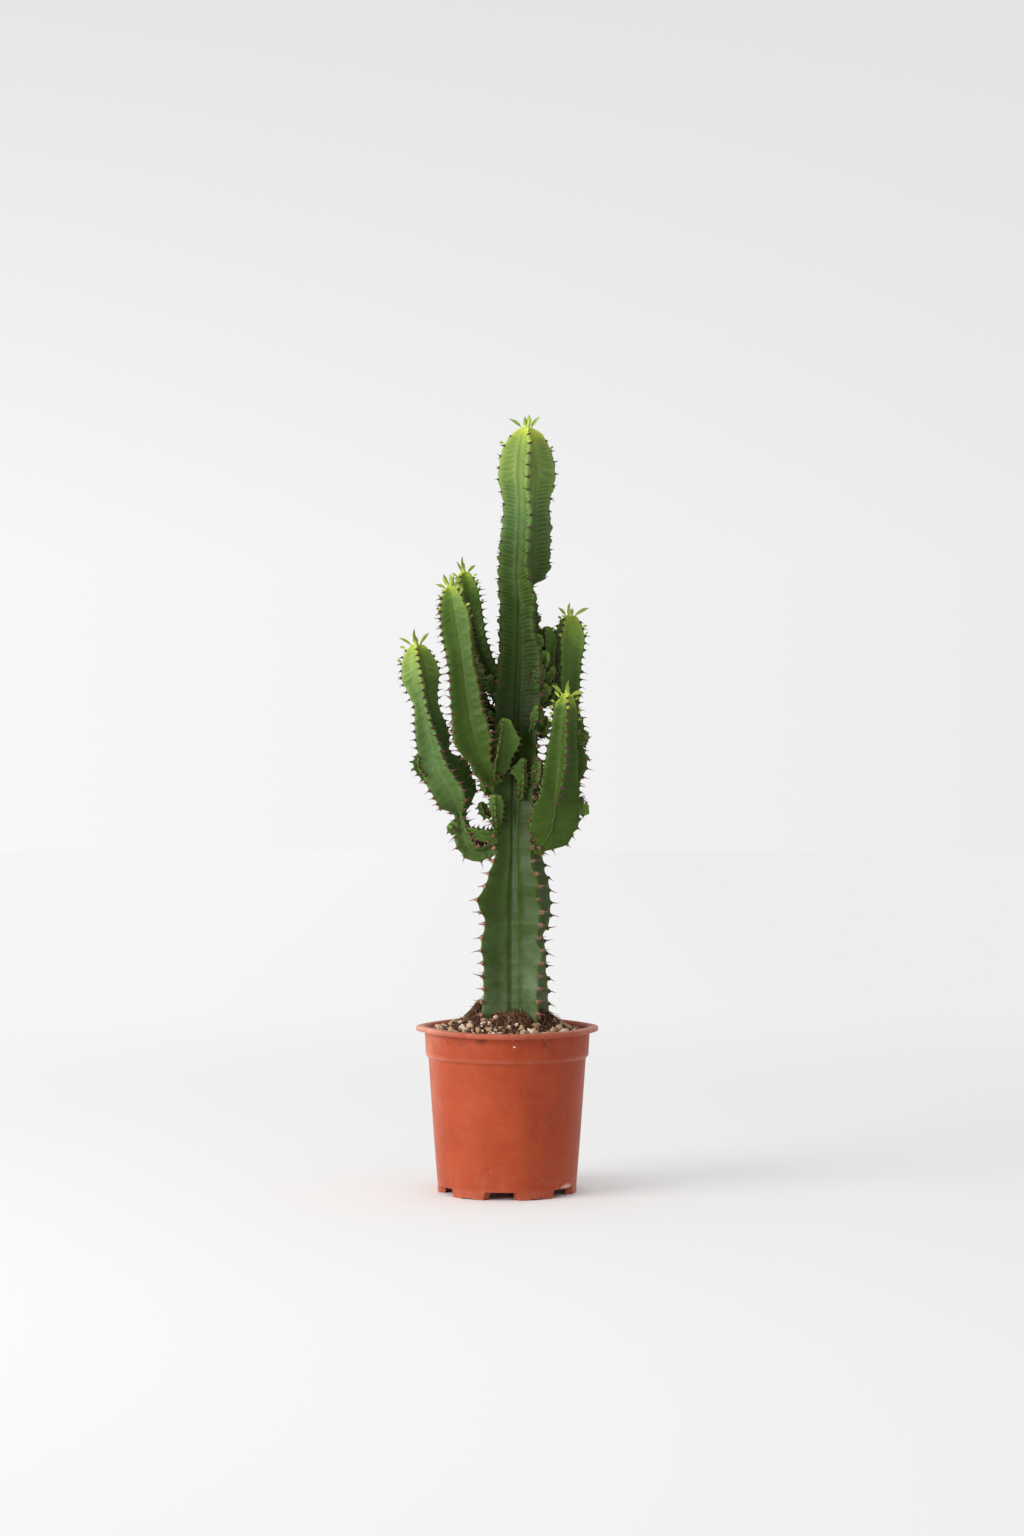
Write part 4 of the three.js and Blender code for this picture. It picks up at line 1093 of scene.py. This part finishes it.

# %% Pale folds with a painted highlight, furrows with painted shade, and rib edge
pale = layered(tree, green, (1.0, (1.7, 1.5, 1.6, 1)), blend="MULTIPLY")
# Pale bands either side of each furrow: pale marbling in part, and in part a painted highlight where the skin
# bulges beside the crease.
fold_highlight_place = add(tree, "Math", edge, blotches(tree, spot, 34, least=-0.11, most=0.11, detail=3))
fold_highlight_stops = [(0.08, 0.0), (0.24, 1.0), (0.36, 1.0), (0.52, 0.0)]
fold = add(tree, "ValToRGB", fold_highlight_place, stops=fold_highlight_stops, ease=True)
drawn_out = add(tree, "Mapping", spot, Scale=(1, 1, 0.12))
streaks = blotches(tree, drawn_out, 3, 0.3, 0.65, 0.35, detail=3, roughness=0.6)
fold_highlight_share = times(tree, fold, streaks, add(tree, "MapRange", trunk, 0.0, 1.0, 0.24, 0.09))
green = layered(tree, green, (fold_highlight_share, pale))
# Each furrow is painted darker, painted shade in the crease, and on the trunk it is a grey line.
furrow_shade_and_line = add(tree, "ValToRGB", edge, stops=[(0.0, 1.0), (0.05, 0.85), (0.14, 0.0)], ease=True)
furrow_shade_share = times(tree, furrow_shade_and_line, add(tree, "MapRange", trunk, 0.0, 1.0, 0.15, 0.5))
rim = add(tree, "MapRange", edge, 0.9, 0.98, 0.0, 0.4)
green = layered(tree, green, (furrow_shade_share, layered(tree, darker, (trunk, "#4B584B"))), (rim, pale))

# %% Bloom, flecks and gloss
level = add(tree, "SeparateXYZ", spot, out="Z")
bloom_top, bloom_full = (crown + 110) * MM, (crown + 5) * MM
near_soil = add(tree, "MapRange", level, bloom_top, bloom_full, interpolation_type="SMOOTHSTEP")
bloom = times(tree, blotches(tree, spot, 26, 0.36, 0.62, most=0.32, roughness=0.6), near_soil)
speckle = blotches(tree, spot, 1.6, 0.68, 0.76, most=0.35, detail=2)
speckle = times(tree, speckle, add(tree, "Math", near_soil, 0.1))
green = layered(tree, green, (bloom, "#7F9270"), (speckle, "#9CA085"))
tree.links.new(green, shader.inputs["Base Color"])
tree.links.new(blotches(tree, spot, 11, least=0.36, most=0.6), shader.inputs["Roughness"])
coarse = blotches(tree, spot, 3.4, most=0.7, detail=3)
fine = blotches(tree, spot, 2.2, most=0.3, roughness=0.65)
dimple = add(tree, "Bump", Height=add(tree, "Math", coarse, fine), Strength=0.35, Distance=0.0005)
tree.links.new(dimple, shader.inputs["Normal"])

# %% Build the stems
for name in stems:
    nodes = [] if name.startswith("knob_") else [name]
    finish_piece(build_stem(name), skin, *nodes, slot="stem_skin")

# %% [markdown]
# ## Spines and their cushions
# At each joint of a rib a small corky cushion, the spine shield, carries two stiff spines that
# spread to either side. Old ones on the trunk are longer and bleached to a reddish brown, and young
# ones are almost black. There are several hundred, so each spine is a cone of only five sides.

# %% Where the cushions are
def cushions(name):
    """Point on the rib's edge, outward, sideways and upward directions, and distance from the tip."""
    stem = stems[name]
    rows = np.linspace(0, stem["length"], 5000)
    found = []
    for k in range(4):
        passed = cushion_phase(stem, rows) - start_of_rib[k]
        number = np.arange(1, int(passed[-1]) + 1)
        down = np.interp(number, passed, rows)
        down = down[(down > 2.2) & (down < stem["length"] - (0 if name == "main_stem" else 3))]
        share = 1 - down / stem["length"]
        reach = [eased(rib, share) for rib in stem["ribs"]]
        down = down[reach[k] > 0.15 * sum(reach)]
        at = rib_edges(name, 1 - down / stem["length"])
        place = to_space(at, at["tip"][:, k, None])[:, 0]
        flat = (at[key][:, k] for key in ("out", "side"))
        turn_out, turn_side = (at["front"] * one[:, :1] + at["right"] * one[:, 1:] for one in flat)
        found.append(np.concatenate([place, turn_out, turn_side, at["up"], down[:, None]], 1))
    return np.concatenate(found)


def unit(v):
    """Each vector divided by its own length."""
    return v / np.linalg.norm(v, axis=-1, keepdims=True)


print("cushions on the main stem:", len(cushions("main_stem")))

# %% Shapes of spines and cushions
spine_sides, spine_levels, shield_sides, flatness = 5, 4, 8, 0.42


def cones(foot, direction, bend, length, radius):
    """Tapering needles: the radius falls as 1 - 0.94 u and the middle line bends by u squared. The
    foot ring is wider by a small flare, 0.5 e^(-9 u)."""
    u = np.linspace(0, 1, spine_levels)
    across = unit(np.cross(direction, np.array([0.31, 0.52, 0.79])))
    other = np.cross(direction, across)
    along = direction[:, None] * u[:, None] + bend[:, None] * u[:, None] ** 2
    middle = foot[:, None] + along * length[:, None, None]
    thick = radius[:, None] * (1.0 - 0.94 * u) * (1 + 0.5 * np.exp(-9 * u))
    turn = np.linspace(0, 2 * np.pi, spine_sides, endpoint=False)
    ring = across[:, None] * np.cos(turn)[:, None] + other[:, None] * np.sin(turn)[:, None]
    grid = middle[:, :, None] + thick[:, :, None, None] * ring[:, None]
    return np.concatenate([grid.reshape(len(foot), -1, 3), middle[:, :1], middle[:, -1:]], 1)


def shields(place, out, side, up, width):
    """Half ellipsoids pressed on the edge: rings of cos and sin over a quarter turn."""
    lift = np.array([-0.35, 0.25, 0.75])
    turn = np.linspace(0, 2 * np.pi, shield_sides, endpoint=False)
    spread = np.sqrt(1 - lift**2)
    ring = np.cos(turn)[:, None] * side[:, None] + np.sin(turn)[:, None] * up[:, None] * 0.8
    rings = spread[:, None, None] * ring[:, None] + flatness * lift[:, None, None] * out[:, None, None]
    grid = place[:, None, None] + width[:, None, None, None] * rings
    top = place[:, None] + width[:, None, None] * flatness * out[:, None]
    low = place[:, None] - width[:, None, None] * 0.3 * out[:, None]
    return np.concatenate([grid.reshape(len(place), -1, 3), low, top], 1)


print("faces on one spine:", sum(map(len, capped_faces(spine_levels, spine_sides))))

# %% Corky spine
# Dead cork: dry and dull, dark while young, bleached from the foot when old.
spine_matter, tree, shader, spot = new_material(
    "corky_spine", IOR=1.5, Roughness=0.55, Specular_IOR_Level=0.35
)
old, tint, reach = (add(tree, "Attribute", attribute_name=key, out="Fac") for key in ("old", "tint", "reach"))
young_look = add(tree, "ValToRGB", reach, stops=[(0.0, "#4A2C24"), (0.4, "#38201B"), (1.0, "#271712")])
old_look = add(tree, "ValToRGB", reach, stops=[(0.0, "#A0725B"), (0.4, "#774C40"), (1.0, "#4C302B")])
lighter = layered(tree, "#5E3E30", (old, "#AD7C58"))
grain = blotches(tree, spot, 1.2, detail=3)
corky = layered(tree, young_look, (old, old_look), (times(tree, tint, 0.4), lighter))
corky = layered(tree, corky, (times(tree, grain, 0.35), "#3A2420"))
tree.links.new(corky, shader.inputs["Base Color"])
tree.links.new(add(tree, "Bump", Height=grain, Strength=0.4, Distance=0.0003), shader.inputs["Normal"])

# %% Build spines and cushions
def spiny_rows(name):
    """Two spreading spines and one cushion at each joint, as one piece for each stem."""
    stem = stems[name]
    rows = cushions(name)
    if name == "main_stem":
        rows = rows[rows[:, 2] > crown - 6]
    place, out, side, up, down = rows[:, :3], rows[:, 3:6], rows[:, 6:9], rows[:, 9:12], rows[:, 12]
    rng = np.random.default_rng(sum(map(ord, name)))
    count = len(rows)
    old = smooth_step(down, 180, 330) if name == "main_stem" else 0.45 * smooth_step(down, 60, 150)
    grown = smooth_step(down, -12, 14) * (0.75 if stem["small"] else 1)
    width = (1.75 + 0.75 * old) * (0.45 + 0.55 * grown) * rng.uniform(0.85, 1.2, count)
    points = shields(place - up * 0.3, out, side, up, width)
    layers = [(points, capped_faces(3, shield_sides), np.zeros(points.shape[1]))]
    along_spine = np.append(np.repeat(np.linspace(0, 1, spine_levels), spine_sides), [0, 1])
    for sign in (-1, 1):
        spread = np.radians(rng.normal(50, 12, count))[:, None]
        droop = rng.normal(-0.15, 0.26, count)[:, None]
        aim = unit(out * np.cos(spread) + sign * side * np.sin(spread) + up * droop)
        length = (5.0 + 2.4 * old) * grown * rng.uniform(0.8, 1.25, count)
        thick = (0.58 + 0.2 * old) * (0.6 + 0.4 * grown)
        foot = place + sign * side * (width * 0.3)[:, None] - out * 0.2
        bend = up * rng.normal(0, 0.06, count)[:, None] + out * 0.1
        points = cones(foot, aim, bend, length, thick)
        layers.append((points, capped_faces(spine_levels, spine_sides), along_spine))
    tint = rng.uniform(0, 1, count)
    points, faces = joined(
        [(p.reshape(-1, 3), [repeat_faces(f, count, p.shape[1]) for f in both]) for p, both, _ in layers]
    )
    return make_mesh(
        "spines_" + name,
        points,
        faces,
        reach=np.concatenate([np.tile(far, count) for _, _, far in layers]),
        old=np.concatenate([np.repeat(old, p.shape[1]) for p, _, _ in layers]),
        tint=np.concatenate([np.repeat(tint, p.shape[1]) for p, _, _ in layers]),
    )


for name in stems:
    finish_piece(spiny_rows(name), spine_matter, slot="stem_skin")

# %% [markdown]
# ## Young leaves
# The growing tips hold a few narrow leaves that fall when the ribs below them fill out. Each is a
# thin, slightly folded blade with a pale midrib. Its outline is a long oval with a drawn-out point,
# and it leans outwards and turns about its own middle line. Each listed leaf gives the angle round
# its tip, its lean in degrees, and its length and width.

# %% Leaf values
leaf_thickness, leaf_seat = 1.1, 0.45
leaves = {
    "main_stem": [
        (-80, 46, 17, 2.6), (-30, 6, 12, 2.6), (20, 4, 13.5, 3.2), (80, 30, 15, 3.0), (170, 15, 12, 2.6)
    ],
    "branch_left_outer": [(-80, 42, 16, 2.0), (5, 2, 16, 3.6), (80, 36, 15, 2.4), (175, 20, 10, 2.4)],
    "branch_left_front": [(-85, 48, 11, 2.4), (-35, 14, 14, 2.8), (20, 12, 13, 2.6), (80, 12, 12, 2.6)],
    "branch_left_back": [(-60, 14, 13, 2.6), (10, 2, 16, 3.2), (90, 42, 11, 2.4), (180, 10, 13, 2.6)],
    "branch_right_back": [(-85, 34, 12, 2.4), (0, 2, 13, 3.2), (85, 50, 17, 2.6), (160, 25, 10, 2.4)],
    "branch_right_front": [(-80, 42, 14, 2.8), (15, 10, 14, 3.6), (85, 62, 12, 3.4), (170, 14, 11, 2.6)],
}
print("leaves", sum(len(v) for v in leaves.values()))

# %% Blades
blade_rows, blade_columns, most_twist = 22, 14, 55


def blade(foot, up, outward, lean, length, width, seed):
    """A closed blade: its middle line leans outwards, each cross-section is a thin oval folded into a
    shallow V, and the sections turn about the middle line, one way or the other by the seed."""
    u = np.linspace(0, 1, blade_rows)
    side = np.cross(up, outward)
    bend = np.radians(lean * (0.85 + 0.3 * u))[:, None]
    middle = foot + length * u[:, None] * (up * np.cos(bend) + outward * np.sin(bend))
    normal = outward * np.cos(bend) - up * np.sin(bend)
    twist = np.radians(most_twist * np.sign(np.sin(seed * 1.9 + 1))) * smooth_step(u, 0.05, 0.5)[:, None]
    turned_side = side * np.cos(twist) + normal * np.sin(twist)
    turned_normal = normal * np.cos(twist) - side * np.sin(twist)
    oval = 0.42 + 0.62 * np.sin(np.pi * np.clip(0.12 + 0.7 * u, 0, 1))
    half = width * 0.72 * oval * np.clip((1 - u) / 0.3, 0.02, 1) ** 0.7
    thick = leaf_thickness / 2 * (1 - 0.6 * u) * np.clip((1 - u) / 0.12, 0.1, 1)
    turn = np.linspace(0, 2 * np.pi, blade_columns, endpoint=False)
    x, y = np.cos(turn) * half[:, None], np.sin(turn) * thick[:, None]
    wave = 0.15 * np.sin(u * 9 + seed)[:, None] * x / max(half)
    y = y - 0.45 * np.abs(x) - wave
    grid = middle[:, None] + x[..., None] * turned_side[:, None] + y[..., None] * turned_normal[:, None]
    points = np.concatenate([grid.reshape(-1, 3), [middle[0] - up * 0.3, middle[-1] + up * 0.2]])
    across = np.append(np.tile(np.abs(np.cos(turn)), blade_rows), [0, 0])
    height = np.append(np.repeat(u, blade_columns), [0, 1])
    return points, across, height


def leafy_tip(name):
    """The listed leaves of one tip, then a few smaller ones that stand by the youngest cushions."""
    line = stems[name]["line"]
    centre, up, front, right = (v[0] for v in frames_at(line, np.array([1.0])))
    rng = np.random.default_rng(len(name) * 7 + ord(name[-1]))
    wanted = []
    for azimuth, lean, length, width in leaves[name]:
        angle = math.radians(azimuth)
        outward = math.cos(angle) * front + math.sin(angle) * right
        foot = centre + up * (-1.5 - 0.025 * lean) + outward * (1.2 + leaf_seat * width + 0.03 * lean)
        wanted.append((foot, up, outward, lean, length, width))
    rows = cushions(name)
    for row in rows[rows[:, 12] < 34]:
        foot, out, rise, down = row[:3] + row[9:12] * 0.8, row[3:6], row[9:12], row[12]
        if rng.uniform() < 0.75 - down / 60:
            size = (7.0 - 0.12 * down) * rng.uniform(0.6, 1.1)
            wanted.append((foot - out * 0.4, rise, out, rng.uniform(30, 62), size, 1.5 + 0.08 * size))
    blades = [blade(*values, seed=i * 1.7) for i, values in enumerate(wanted)]
    points, faces = joined([(one[0], capped_faces(blade_rows, blade_columns)) for one in blades])
    across, height = (np.concatenate([one[k] for one in blades]) for k in (1, 2))
    label = name.replace("branch_", "").replace("main_stem", "main")
    piece = make_mesh("leaves_" + label, points, faces, across=across, height=height)
    return piece, [f"leaf_{label}_{i + 1}" for i in range(len(leaves[name]))]


# %% Young leaf skin
# Thin and tender: light goes a little way into it, and it is glossier than the old skin.
leaf_skin, tree, shader, spot = new_material(
    "young_leaf_skin", IOR=1.45, Specular_IOR_Level=0.4, Roughness=0.42, Subsurface_Weight=0.15,
    Subsurface_Radius=(0.0015, 0.002, 0.0006),
)
across, high = (add(tree, "Attribute", attribute_name=key, out="Fac") for key in ("across", "height"))
blade_green = add(
    tree, "ValToRGB", high, stops=[(0.0, "#C9D45A"), (0.35, "#A4B848"), (0.8, "#8FA63E"), (1.0, "#A08C40")]
)
midrib = add(tree, "ValToRGB", across, stops=[(0.0, 0.6), (0.3, 0.0)], ease=True)
veins = blotches(tree, spot, 1.5, detail=3)
blade_green = layered(tree, blade_green, (midrib, "#D5DE8C"), (times(tree, veins, 0.25), "#7F9A34"))
tree.links.new(blade_green, shader.inputs["Base Color"])
tree.links.new(add(tree, "Bump", Height=veins, Strength=0.25, Distance=0.0003), shader.inputs["Normal"])
for name in leaves:
    piece, nodes = leafy_tip(name)
    finish_piece(piece, leaf_skin, *nodes, slot="young_leaf")

# %% [markdown]
# ## Potting mix
# The mix is coarse bark and coir fibre with pumice grit. Its surface is a disc of points lifted by
# a formula: a smooth mound, a few heaps that the repotting left against the stem, and lumps of two
# sizes. Below the surface it follows the pot's inside down to the floor, so it is a closed body.

# %% Soil surface
soil_edge = collar_top - wall - 0.3 - 1.2
soil_floor = floor_height + 1.9
heaps = [  # (right, back, width, height) in mm from the pot's axis
    (-27, -3, 11, 8.5), (-20, 12, 16, 5.0), (40, -6, 12, 7.0), (30, 14, 16, 5.0), (9, -33, 9, 5.0),
    (-50, -8, 18, 2.0),
]


def soil_level(x, y):
    """Height of the mix at a place measured from the pot's axis: mound, round heaps, then lumps."""
    radius = np.hypot(x, y)
    u = np.clip((radius - mound_flat) / (soil_edge - mound_flat), 0, 1)
    level = crown - mound_height * (1 - (1 - u) ** 1.6)
    for cx, cy, wide, tall in heaps:
        level = level + tall * np.exp(-((x - cx) ** 2 + (y - cy) ** 2) / (2 * (wide * 0.62) ** 2))
    flat = np.stack([x, y], -1)
    calm = 1 - 0.6 * smooth_step(radius, soil_edge - 6, soil_edge)
    return level + calm * (1.1 * bumps(flat, 13, 21) + 0.6 * bumps(flat, 5, 22)) - 0.8


radii = np.concatenate([np.linspace(soil_edge + 0.9, 6, 64), [3, 1]])
turn = np.linspace(0, 2 * np.pi, 180, endpoint=False)
top_x, top_y = radii[:, None] * np.sin(turn), -radii[:, None] * np.cos(turn)
top = np.stack([top_x + pot_axis[0], top_y + pot_axis[1], soil_level(top_x, top_y)], -1)
inner_wall = np.array(
    [
        (1.0, soil_floor), (30, soil_floor), (62.4, soil_floor), (body_top - wall - 0.6, step_foot),
        (collar_foot - wall - 0.6, step_top + 0.3),
    ]
)
r, z = inner_wall[:, :1], inner_wall[:, 1:]
below = np.stack([r * np.sin(turn) + pot_axis[0], -r * np.cos(turn) + pot_axis[1], z + 0 * turn], -1)
grid = np.concatenate([below, top])
centre_top = soil_level(np.zeros(1), np.zeros(1))[0]
points = np.concatenate([grid.reshape(-1, 3), [[*pot_axis[:2], soil_floor], [*pot_axis[:2], centre_top]]])
soil = make_mesh("potting_mix_bed", points, capped_faces(*grid.shape[:2]))
peat, tree, shader, spot = new_material("moist_bark_fines", Roughness=0.9, Specular_IOR_Level=0.25)
crumb = blotches(tree, spot, 2.4, detail=5, roughness=0.7)
earth = add(
    tree, "ValToRGB", crumb, stops=[(0.3, "#22150E"), (0.48, "#4A2F22"), (0.62, "#6B4836"), (0.78, "#92704F")]
)
tree.links.new(earth, shader.inputs["Base Color"])
tree.links.new(add(tree, "Bump", Height=crumb, Strength=1.0, Distance=0.002), shader.inputs["Normal"])
finish_piece(soil, peat, "soil", slot="potting_mix")

# %% [markdown]
# ### Grit, bark and fibre
# The grit is pale pumice, crushed and sieved to a few millimetres. Each grain here is the same
# rounded cube of 26 points, pushed about by its own random numbers. Bark flakes are flat versions
# of it. Fibres are thin four-sided tubes that bow along the surface.

# %% A rounded cube
def rounded_cube():
    """The 26 outer points of a 3 x 3 x 3 grid, pulled to unit length with corners that stand out a
    little more than edges, and the four-sided faces between them."""
    cells = [(a, b, c) for a in range(3) for b in range(3) for c in range(3) if (a, b, c) != (1, 1, 1)]
    number = {cell: i for i, cell in enumerate(cells)}
    quads = []
    for axis in range(3):
        for end in (0, 2):
            for i in range(2):
                for j in range(2):
                    loop = [(i, j), (i + 1, j), (i + 1, j + 1), (i, j + 1)]
                    if end == 0:
                        loop = loop[::-1]
                    quads.append([number[tuple(np.roll([end, a, b], axis))] for a, b in loop])
    points = np.array(cells) - 1.0
    stand_out = 1.0 + 0.13 * (np.abs(points).sum(1, keepdims=True) - 1)
    return unit(points) * stand_out, np.array(quads)


def scatter(count, rng, low, high, bias):
    """Random places between two distances from the axis: a smaller bias puts more of them outwards."""
    radius = low + (high - low) * rng.uniform(0, 1, count) ** bias
    angle = rng.uniform(0, 2 * np.pi, count)
    return radius * np.sin(angle), -radius * np.cos(angle)


def turned(rng, count, tilt):
    """Random rotation matrices: any turn about Z, and a lean of about tilt radians."""
    a, b, c = rng.uniform(0, 2 * np.pi, count), rng.normal(0, tilt, count), rng.normal(0, tilt, count)
    zero, one = np.zeros(count), np.ones(count)
    about_z = np.array([[np.cos(a), -np.sin(a), zero], [np.sin(a), np.cos(a), zero], [zero, zero, one]])
    about_x = np.array([[one, zero, zero], [zero, np.cos(b), -np.sin(b)], [zero, np.sin(b), np.cos(b)]])
    about_y = np.array([[np.cos(c), zero, np.sin(c)], [zero, one, zero], [-np.sin(c), zero, np.cos(c)]])
    return np.einsum("ijn,jkn,kln->nil", about_z, about_x, about_y)


# %% Many lumps in one mesh
lump_points, lump_quads = rounded_cube()


def lumps(name, x, y, lift, size, rough, tilt, rng):
    """One mesh of many lumps: each is the rounded cube, roughened, stretched, turned and put on the mix."""
    count = len(x)
    shape = lump_points[None] * (1 + rng.normal(0, rough, (count, len(lump_points), 1)))
    shape = np.einsum("nij,npj->npi", turned(rng, count, tilt), shape * size[:, None])
    place = np.stack([x + pot_axis[0], y + pot_axis[1], soil_level(x, y) + lift], -1)
    points = (shape + place[:, None]).reshape(-1, 3)
    tint = np.repeat(rng.uniform(0, 1, count), len(lump_points))
    return make_mesh(name, points, [repeat_faces(lump_quads, count, len(lump_points))], tint=tint)


def clear_of_stem(x, y):
    """True where a place is outside the square trunk: distances across its two diagonals add up to
    more than its half width."""
    turn = math.radians(stems["main_stem"]["turn"][0][1])
    a, b = x - main_line[0][1], y
    one, two = a * math.sin(turn) - b * math.cos(turn), a * math.cos(turn) + b * math.sin(turn)
    return np.abs(one) + np.abs(two) > 33


print("a grain has", len(lump_points), "points and", len(lump_quads), "faces")

# %% Pumice grit
big = [  # (azimuth, distance from the axis, size in mm) of the stones that are solids in the frame
    (-62, 58, 4.2), (-38, 64, 3.6), (-12, 62, 4.4), (14, 60, 5.0), (33, 65, 4.6), (58, 62, 4.8),
    (150, 60, 4.4), (-130, 61, 4.6),
]
rng = np.random.default_rng(11)
x, y = scatter(470, rng, 26, soil_edge - 1.5, 0.62)
keep = clear_of_stem(x, y) & (rng.uniform(0, 1, len(x)) < 0.35 + 0.75 * smooth_step(np.hypot(x, y), 34, 56))
x = np.concatenate([[r * math.sin(math.radians(a)) for a, r, _ in big], x[keep]])
y = np.concatenate([[-r * math.cos(math.radians(a)) for a, r, _ in big], y[keep]])
grain_size = np.clip(rng.lognormal(math.log(2.0), 0.4, len(x)), 0.9, 3.8)
grain_size[: len(big)] = [0.86 * s for _, _, s in big]
stretch = grain_size[:, None] * rng.uniform([0.85, 0.7, 0.6], [1.25, 1.0, 0.9], (len(x), 3))
grit = lumps("pumice_grit", x, y, grain_size * 0.3, stretch, 0.2, 0.8, rng)
print("stones and grains", len(x))

# %% Crushed pumice
# Volcanic glass froth: chalky and dull, with dark pores, and dirty where the mix has stuck to it.
pumice, tree, shader, spot = new_material("crushed_pumice", Roughness=0.92, Specular_IOR_Level=0.2)
tint = add(tree, "Attribute", attribute_name="tint", out="Fac")
shades = [(0.0, "#A98466"), (0.3, "#C9A586"), (0.7, "#DCC0A2"), (1.0, "#EEDDC8")]
stone = add(tree, "ValToRGB", tint, stops=shades)
pores = blotches(tree, spot, 0.9, 0.36, 0.5, 0.65, 0.0, detail=3, roughness=0.7)
dirt = blotches(tree, spot, 5, 0.5, 0.72, most=0.45, detail=3)
stone = layered(tree, stone, (pores, "#7A5E43"), (dirt, "#8C6B4B"))
tree.links.new(stone, shader.inputs["Base Color"])
pits = blotches(tree, spot, 1.1, detail=3, roughness=0.7)
tree.links.new(add(tree, "Bump", Height=pits, Strength=0.9, Distance=0.0008), shader.inputs["Normal"])
finish_piece(grit, pumice, *[f"pumice_{i + 1}" for i in range(len(big))], slot="pumice")

# %% Bark flakes
# Composted bark: brown, woody and a little damp.
x, y = scatter(420, rng, 22, soil_edge - 1, 0.8)
keep = clear_of_stem(x, y)
x, y = x[keep], y[keep]
flake = rng.uniform([1.2, 0.7, 0.25], [3.4, 1.7, 0.7], (len(x), 3))
flakes = lumps("bark_flakes", x, y, rng.uniform(0.2, 1.4, len(x)), flake, 0.14, 0.6, rng)
bark, tree, shader, spot = new_material("composted_bark", Roughness=0.8, Specular_IOR_Level=0.3)
tint = add(tree, "Attribute", attribute_name="tint", out="Fac")
shades = [(0.0, "#2F1D15"), (0.45, "#573829"), (0.8, "#7D5640"), (1.0, "#A27C5C")]
brown = add(tree, "ValToRGB", tint, stops=shades)
grain = blotches(tree, spot, 1.4, roughness=0.7)
brown = layered(tree, brown, (times(tree, grain, 0.5), "#2A1A13"))
tree.links.new(brown, shader.inputs["Base Color"])
tree.links.new(add(tree, "Bump", Height=grain, Strength=0.8, Distance=0.0006), shader.inputs["Normal"])
finish_piece(flakes, bark, slot="potting_mix")

# %% Fibres
def fibres(name, x, y, length, thick, lean, arch, rng, levels=7, sides=4):
    """Bowed threads: a line that starts on the mix, leans up by an angle and arches over, with four sides."""
    count = len(x)
    u = np.linspace(0, 1, levels)
    heading, swerve = rng.uniform(0, 2 * np.pi, count), rng.normal(0, 1.1, count)
    angle = heading[:, None] + swerve[:, None] * u
    step = length[:, None] / (levels - 1)
    px = x[:, None] + np.cumsum(np.cos(angle) * step, 1) - np.cos(angle) * step
    py = y[:, None] + np.cumsum(np.sin(angle) * step, 1) - np.sin(angle) * step
    hold = np.minimum(1, (soil_edge - 1.0) / np.hypot(px, py))
    px, py = px * hold, py * hold
    rise = length[:, None] * (np.sin(lean)[:, None] * u + arch[:, None] * (u - u * u))
    line = np.stack([px + pot_axis[0], py + pot_axis[1], soil_level(px, py) + 0.25 + rise], -1)
    slope = unit(np.gradient(line, axis=1))
    across = unit(np.cross(slope, np.array([0.1, 0.2, 1.0])))
    other = np.cross(slope, across)
    turn = np.linspace(0, 2 * np.pi, sides, endpoint=False)
    wide = thick[:, None] * (1 - 0.6 * u**2)
    ring = across[:, :, None] * np.cos(turn)[:, None] + 0.6 * other[:, :, None] * np.sin(turn)[:, None]
    grid = line[:, :, None] + wide[..., None, None] * ring
    points = np.concatenate([grid.reshape(count, -1, 3), line[:, :1], line[:, -1:]], 1)
    size = points.shape[1]
    tint = np.repeat(rng.uniform(0, 1, count), size)
    faces = [repeat_faces(f, count, size) for f in capped_faces(levels, sides)]
    return make_mesh(name, points.reshape(-1, 3), faces, tint=tint)


x, y = scatter(760, rng, 20, soil_edge - 3, 0.85)
for_heap = 110
heap_x = [rng.normal(heap[0], heap[2] * 0.6, for_heap) for heap in heaps[:5]]
heap_y = [rng.normal(heap[1], heap[2] * 0.6, for_heap) for heap in heaps[:5]]
x, y = np.concatenate([x, *heap_x]), np.concatenate([y, *heap_y])
keep = clear_of_stem(x, y) & (np.hypot(x, y) < soil_edge - 2)
x, y = x[keep], y[keep]
count = len(x)
near = 1 - smooth_step(np.hypot(x, y), 34, 60)
length, thick = rng.uniform(4, 11, count) * (1 + 0.5 * near), rng.uniform(0.22, 0.62, count)
lean, arch = np.abs(rng.normal(0, 0.12, count)) + 0.12 * near, rng.uniform(0.05, 0.5, count)
coir = fibres("coir_and_bark_fibre", x, y, length, thick, lean, arch, rng)
print("fibres", count)

# %% Coir
# Husk fibre: brown, stiff and dull, in many shades.
fibre, tree, shader, spot = new_material("coir_fibre", Roughness=0.75, Specular_IOR_Level=0.3)
tint = add(tree, "Attribute", attribute_name="tint", out="Fac")
shades = [(0.0, "#342018"), (0.4, "#63402E"), (0.75, "#8C6146"), (1.0, "#B58B63")]
brown = add(tree, "ValToRGB", tint, stops=shades)
brown = layered(tree, brown, (blotches(tree, spot, 2, most=0.5, detail=3), "#3A241A"))
tree.links.new(brown, shader.inputs["Base Color"])
finish_piece(coir, fibre, slot="potting_mix")

# %% Fine root hairs
x, y = scatter(34, rng, 38, soil_edge - 12, 0.7)
x = np.where(rng.uniform(0, 1, len(x)) < 0.75, -np.abs(x), x)
length, thick = rng.uniform(9, 18, len(x)), np.full(len(x), 0.09)
lean, arch = rng.uniform(0.25, 0.75, len(x)), rng.uniform(0.0, 0.5, len(x))
hairs = fibres("root_hairs", x, y, length, thick, lean, arch, rng, levels=10)
hair, tree, shader, spot = new_material("dry_root_hair", Roughness=0.6, Specular_IOR_Level=0.4)
shade = add(tree, "ValToRGB", blotches(tree, spot, 6, detail=2), stops=[(0.3, "#A58D78"), (0.7, "#D2C2B2")])
tree.links.new(shade, shader.inputs["Base Color"])
finish_piece(hairs, hair, slot="potting_mix")
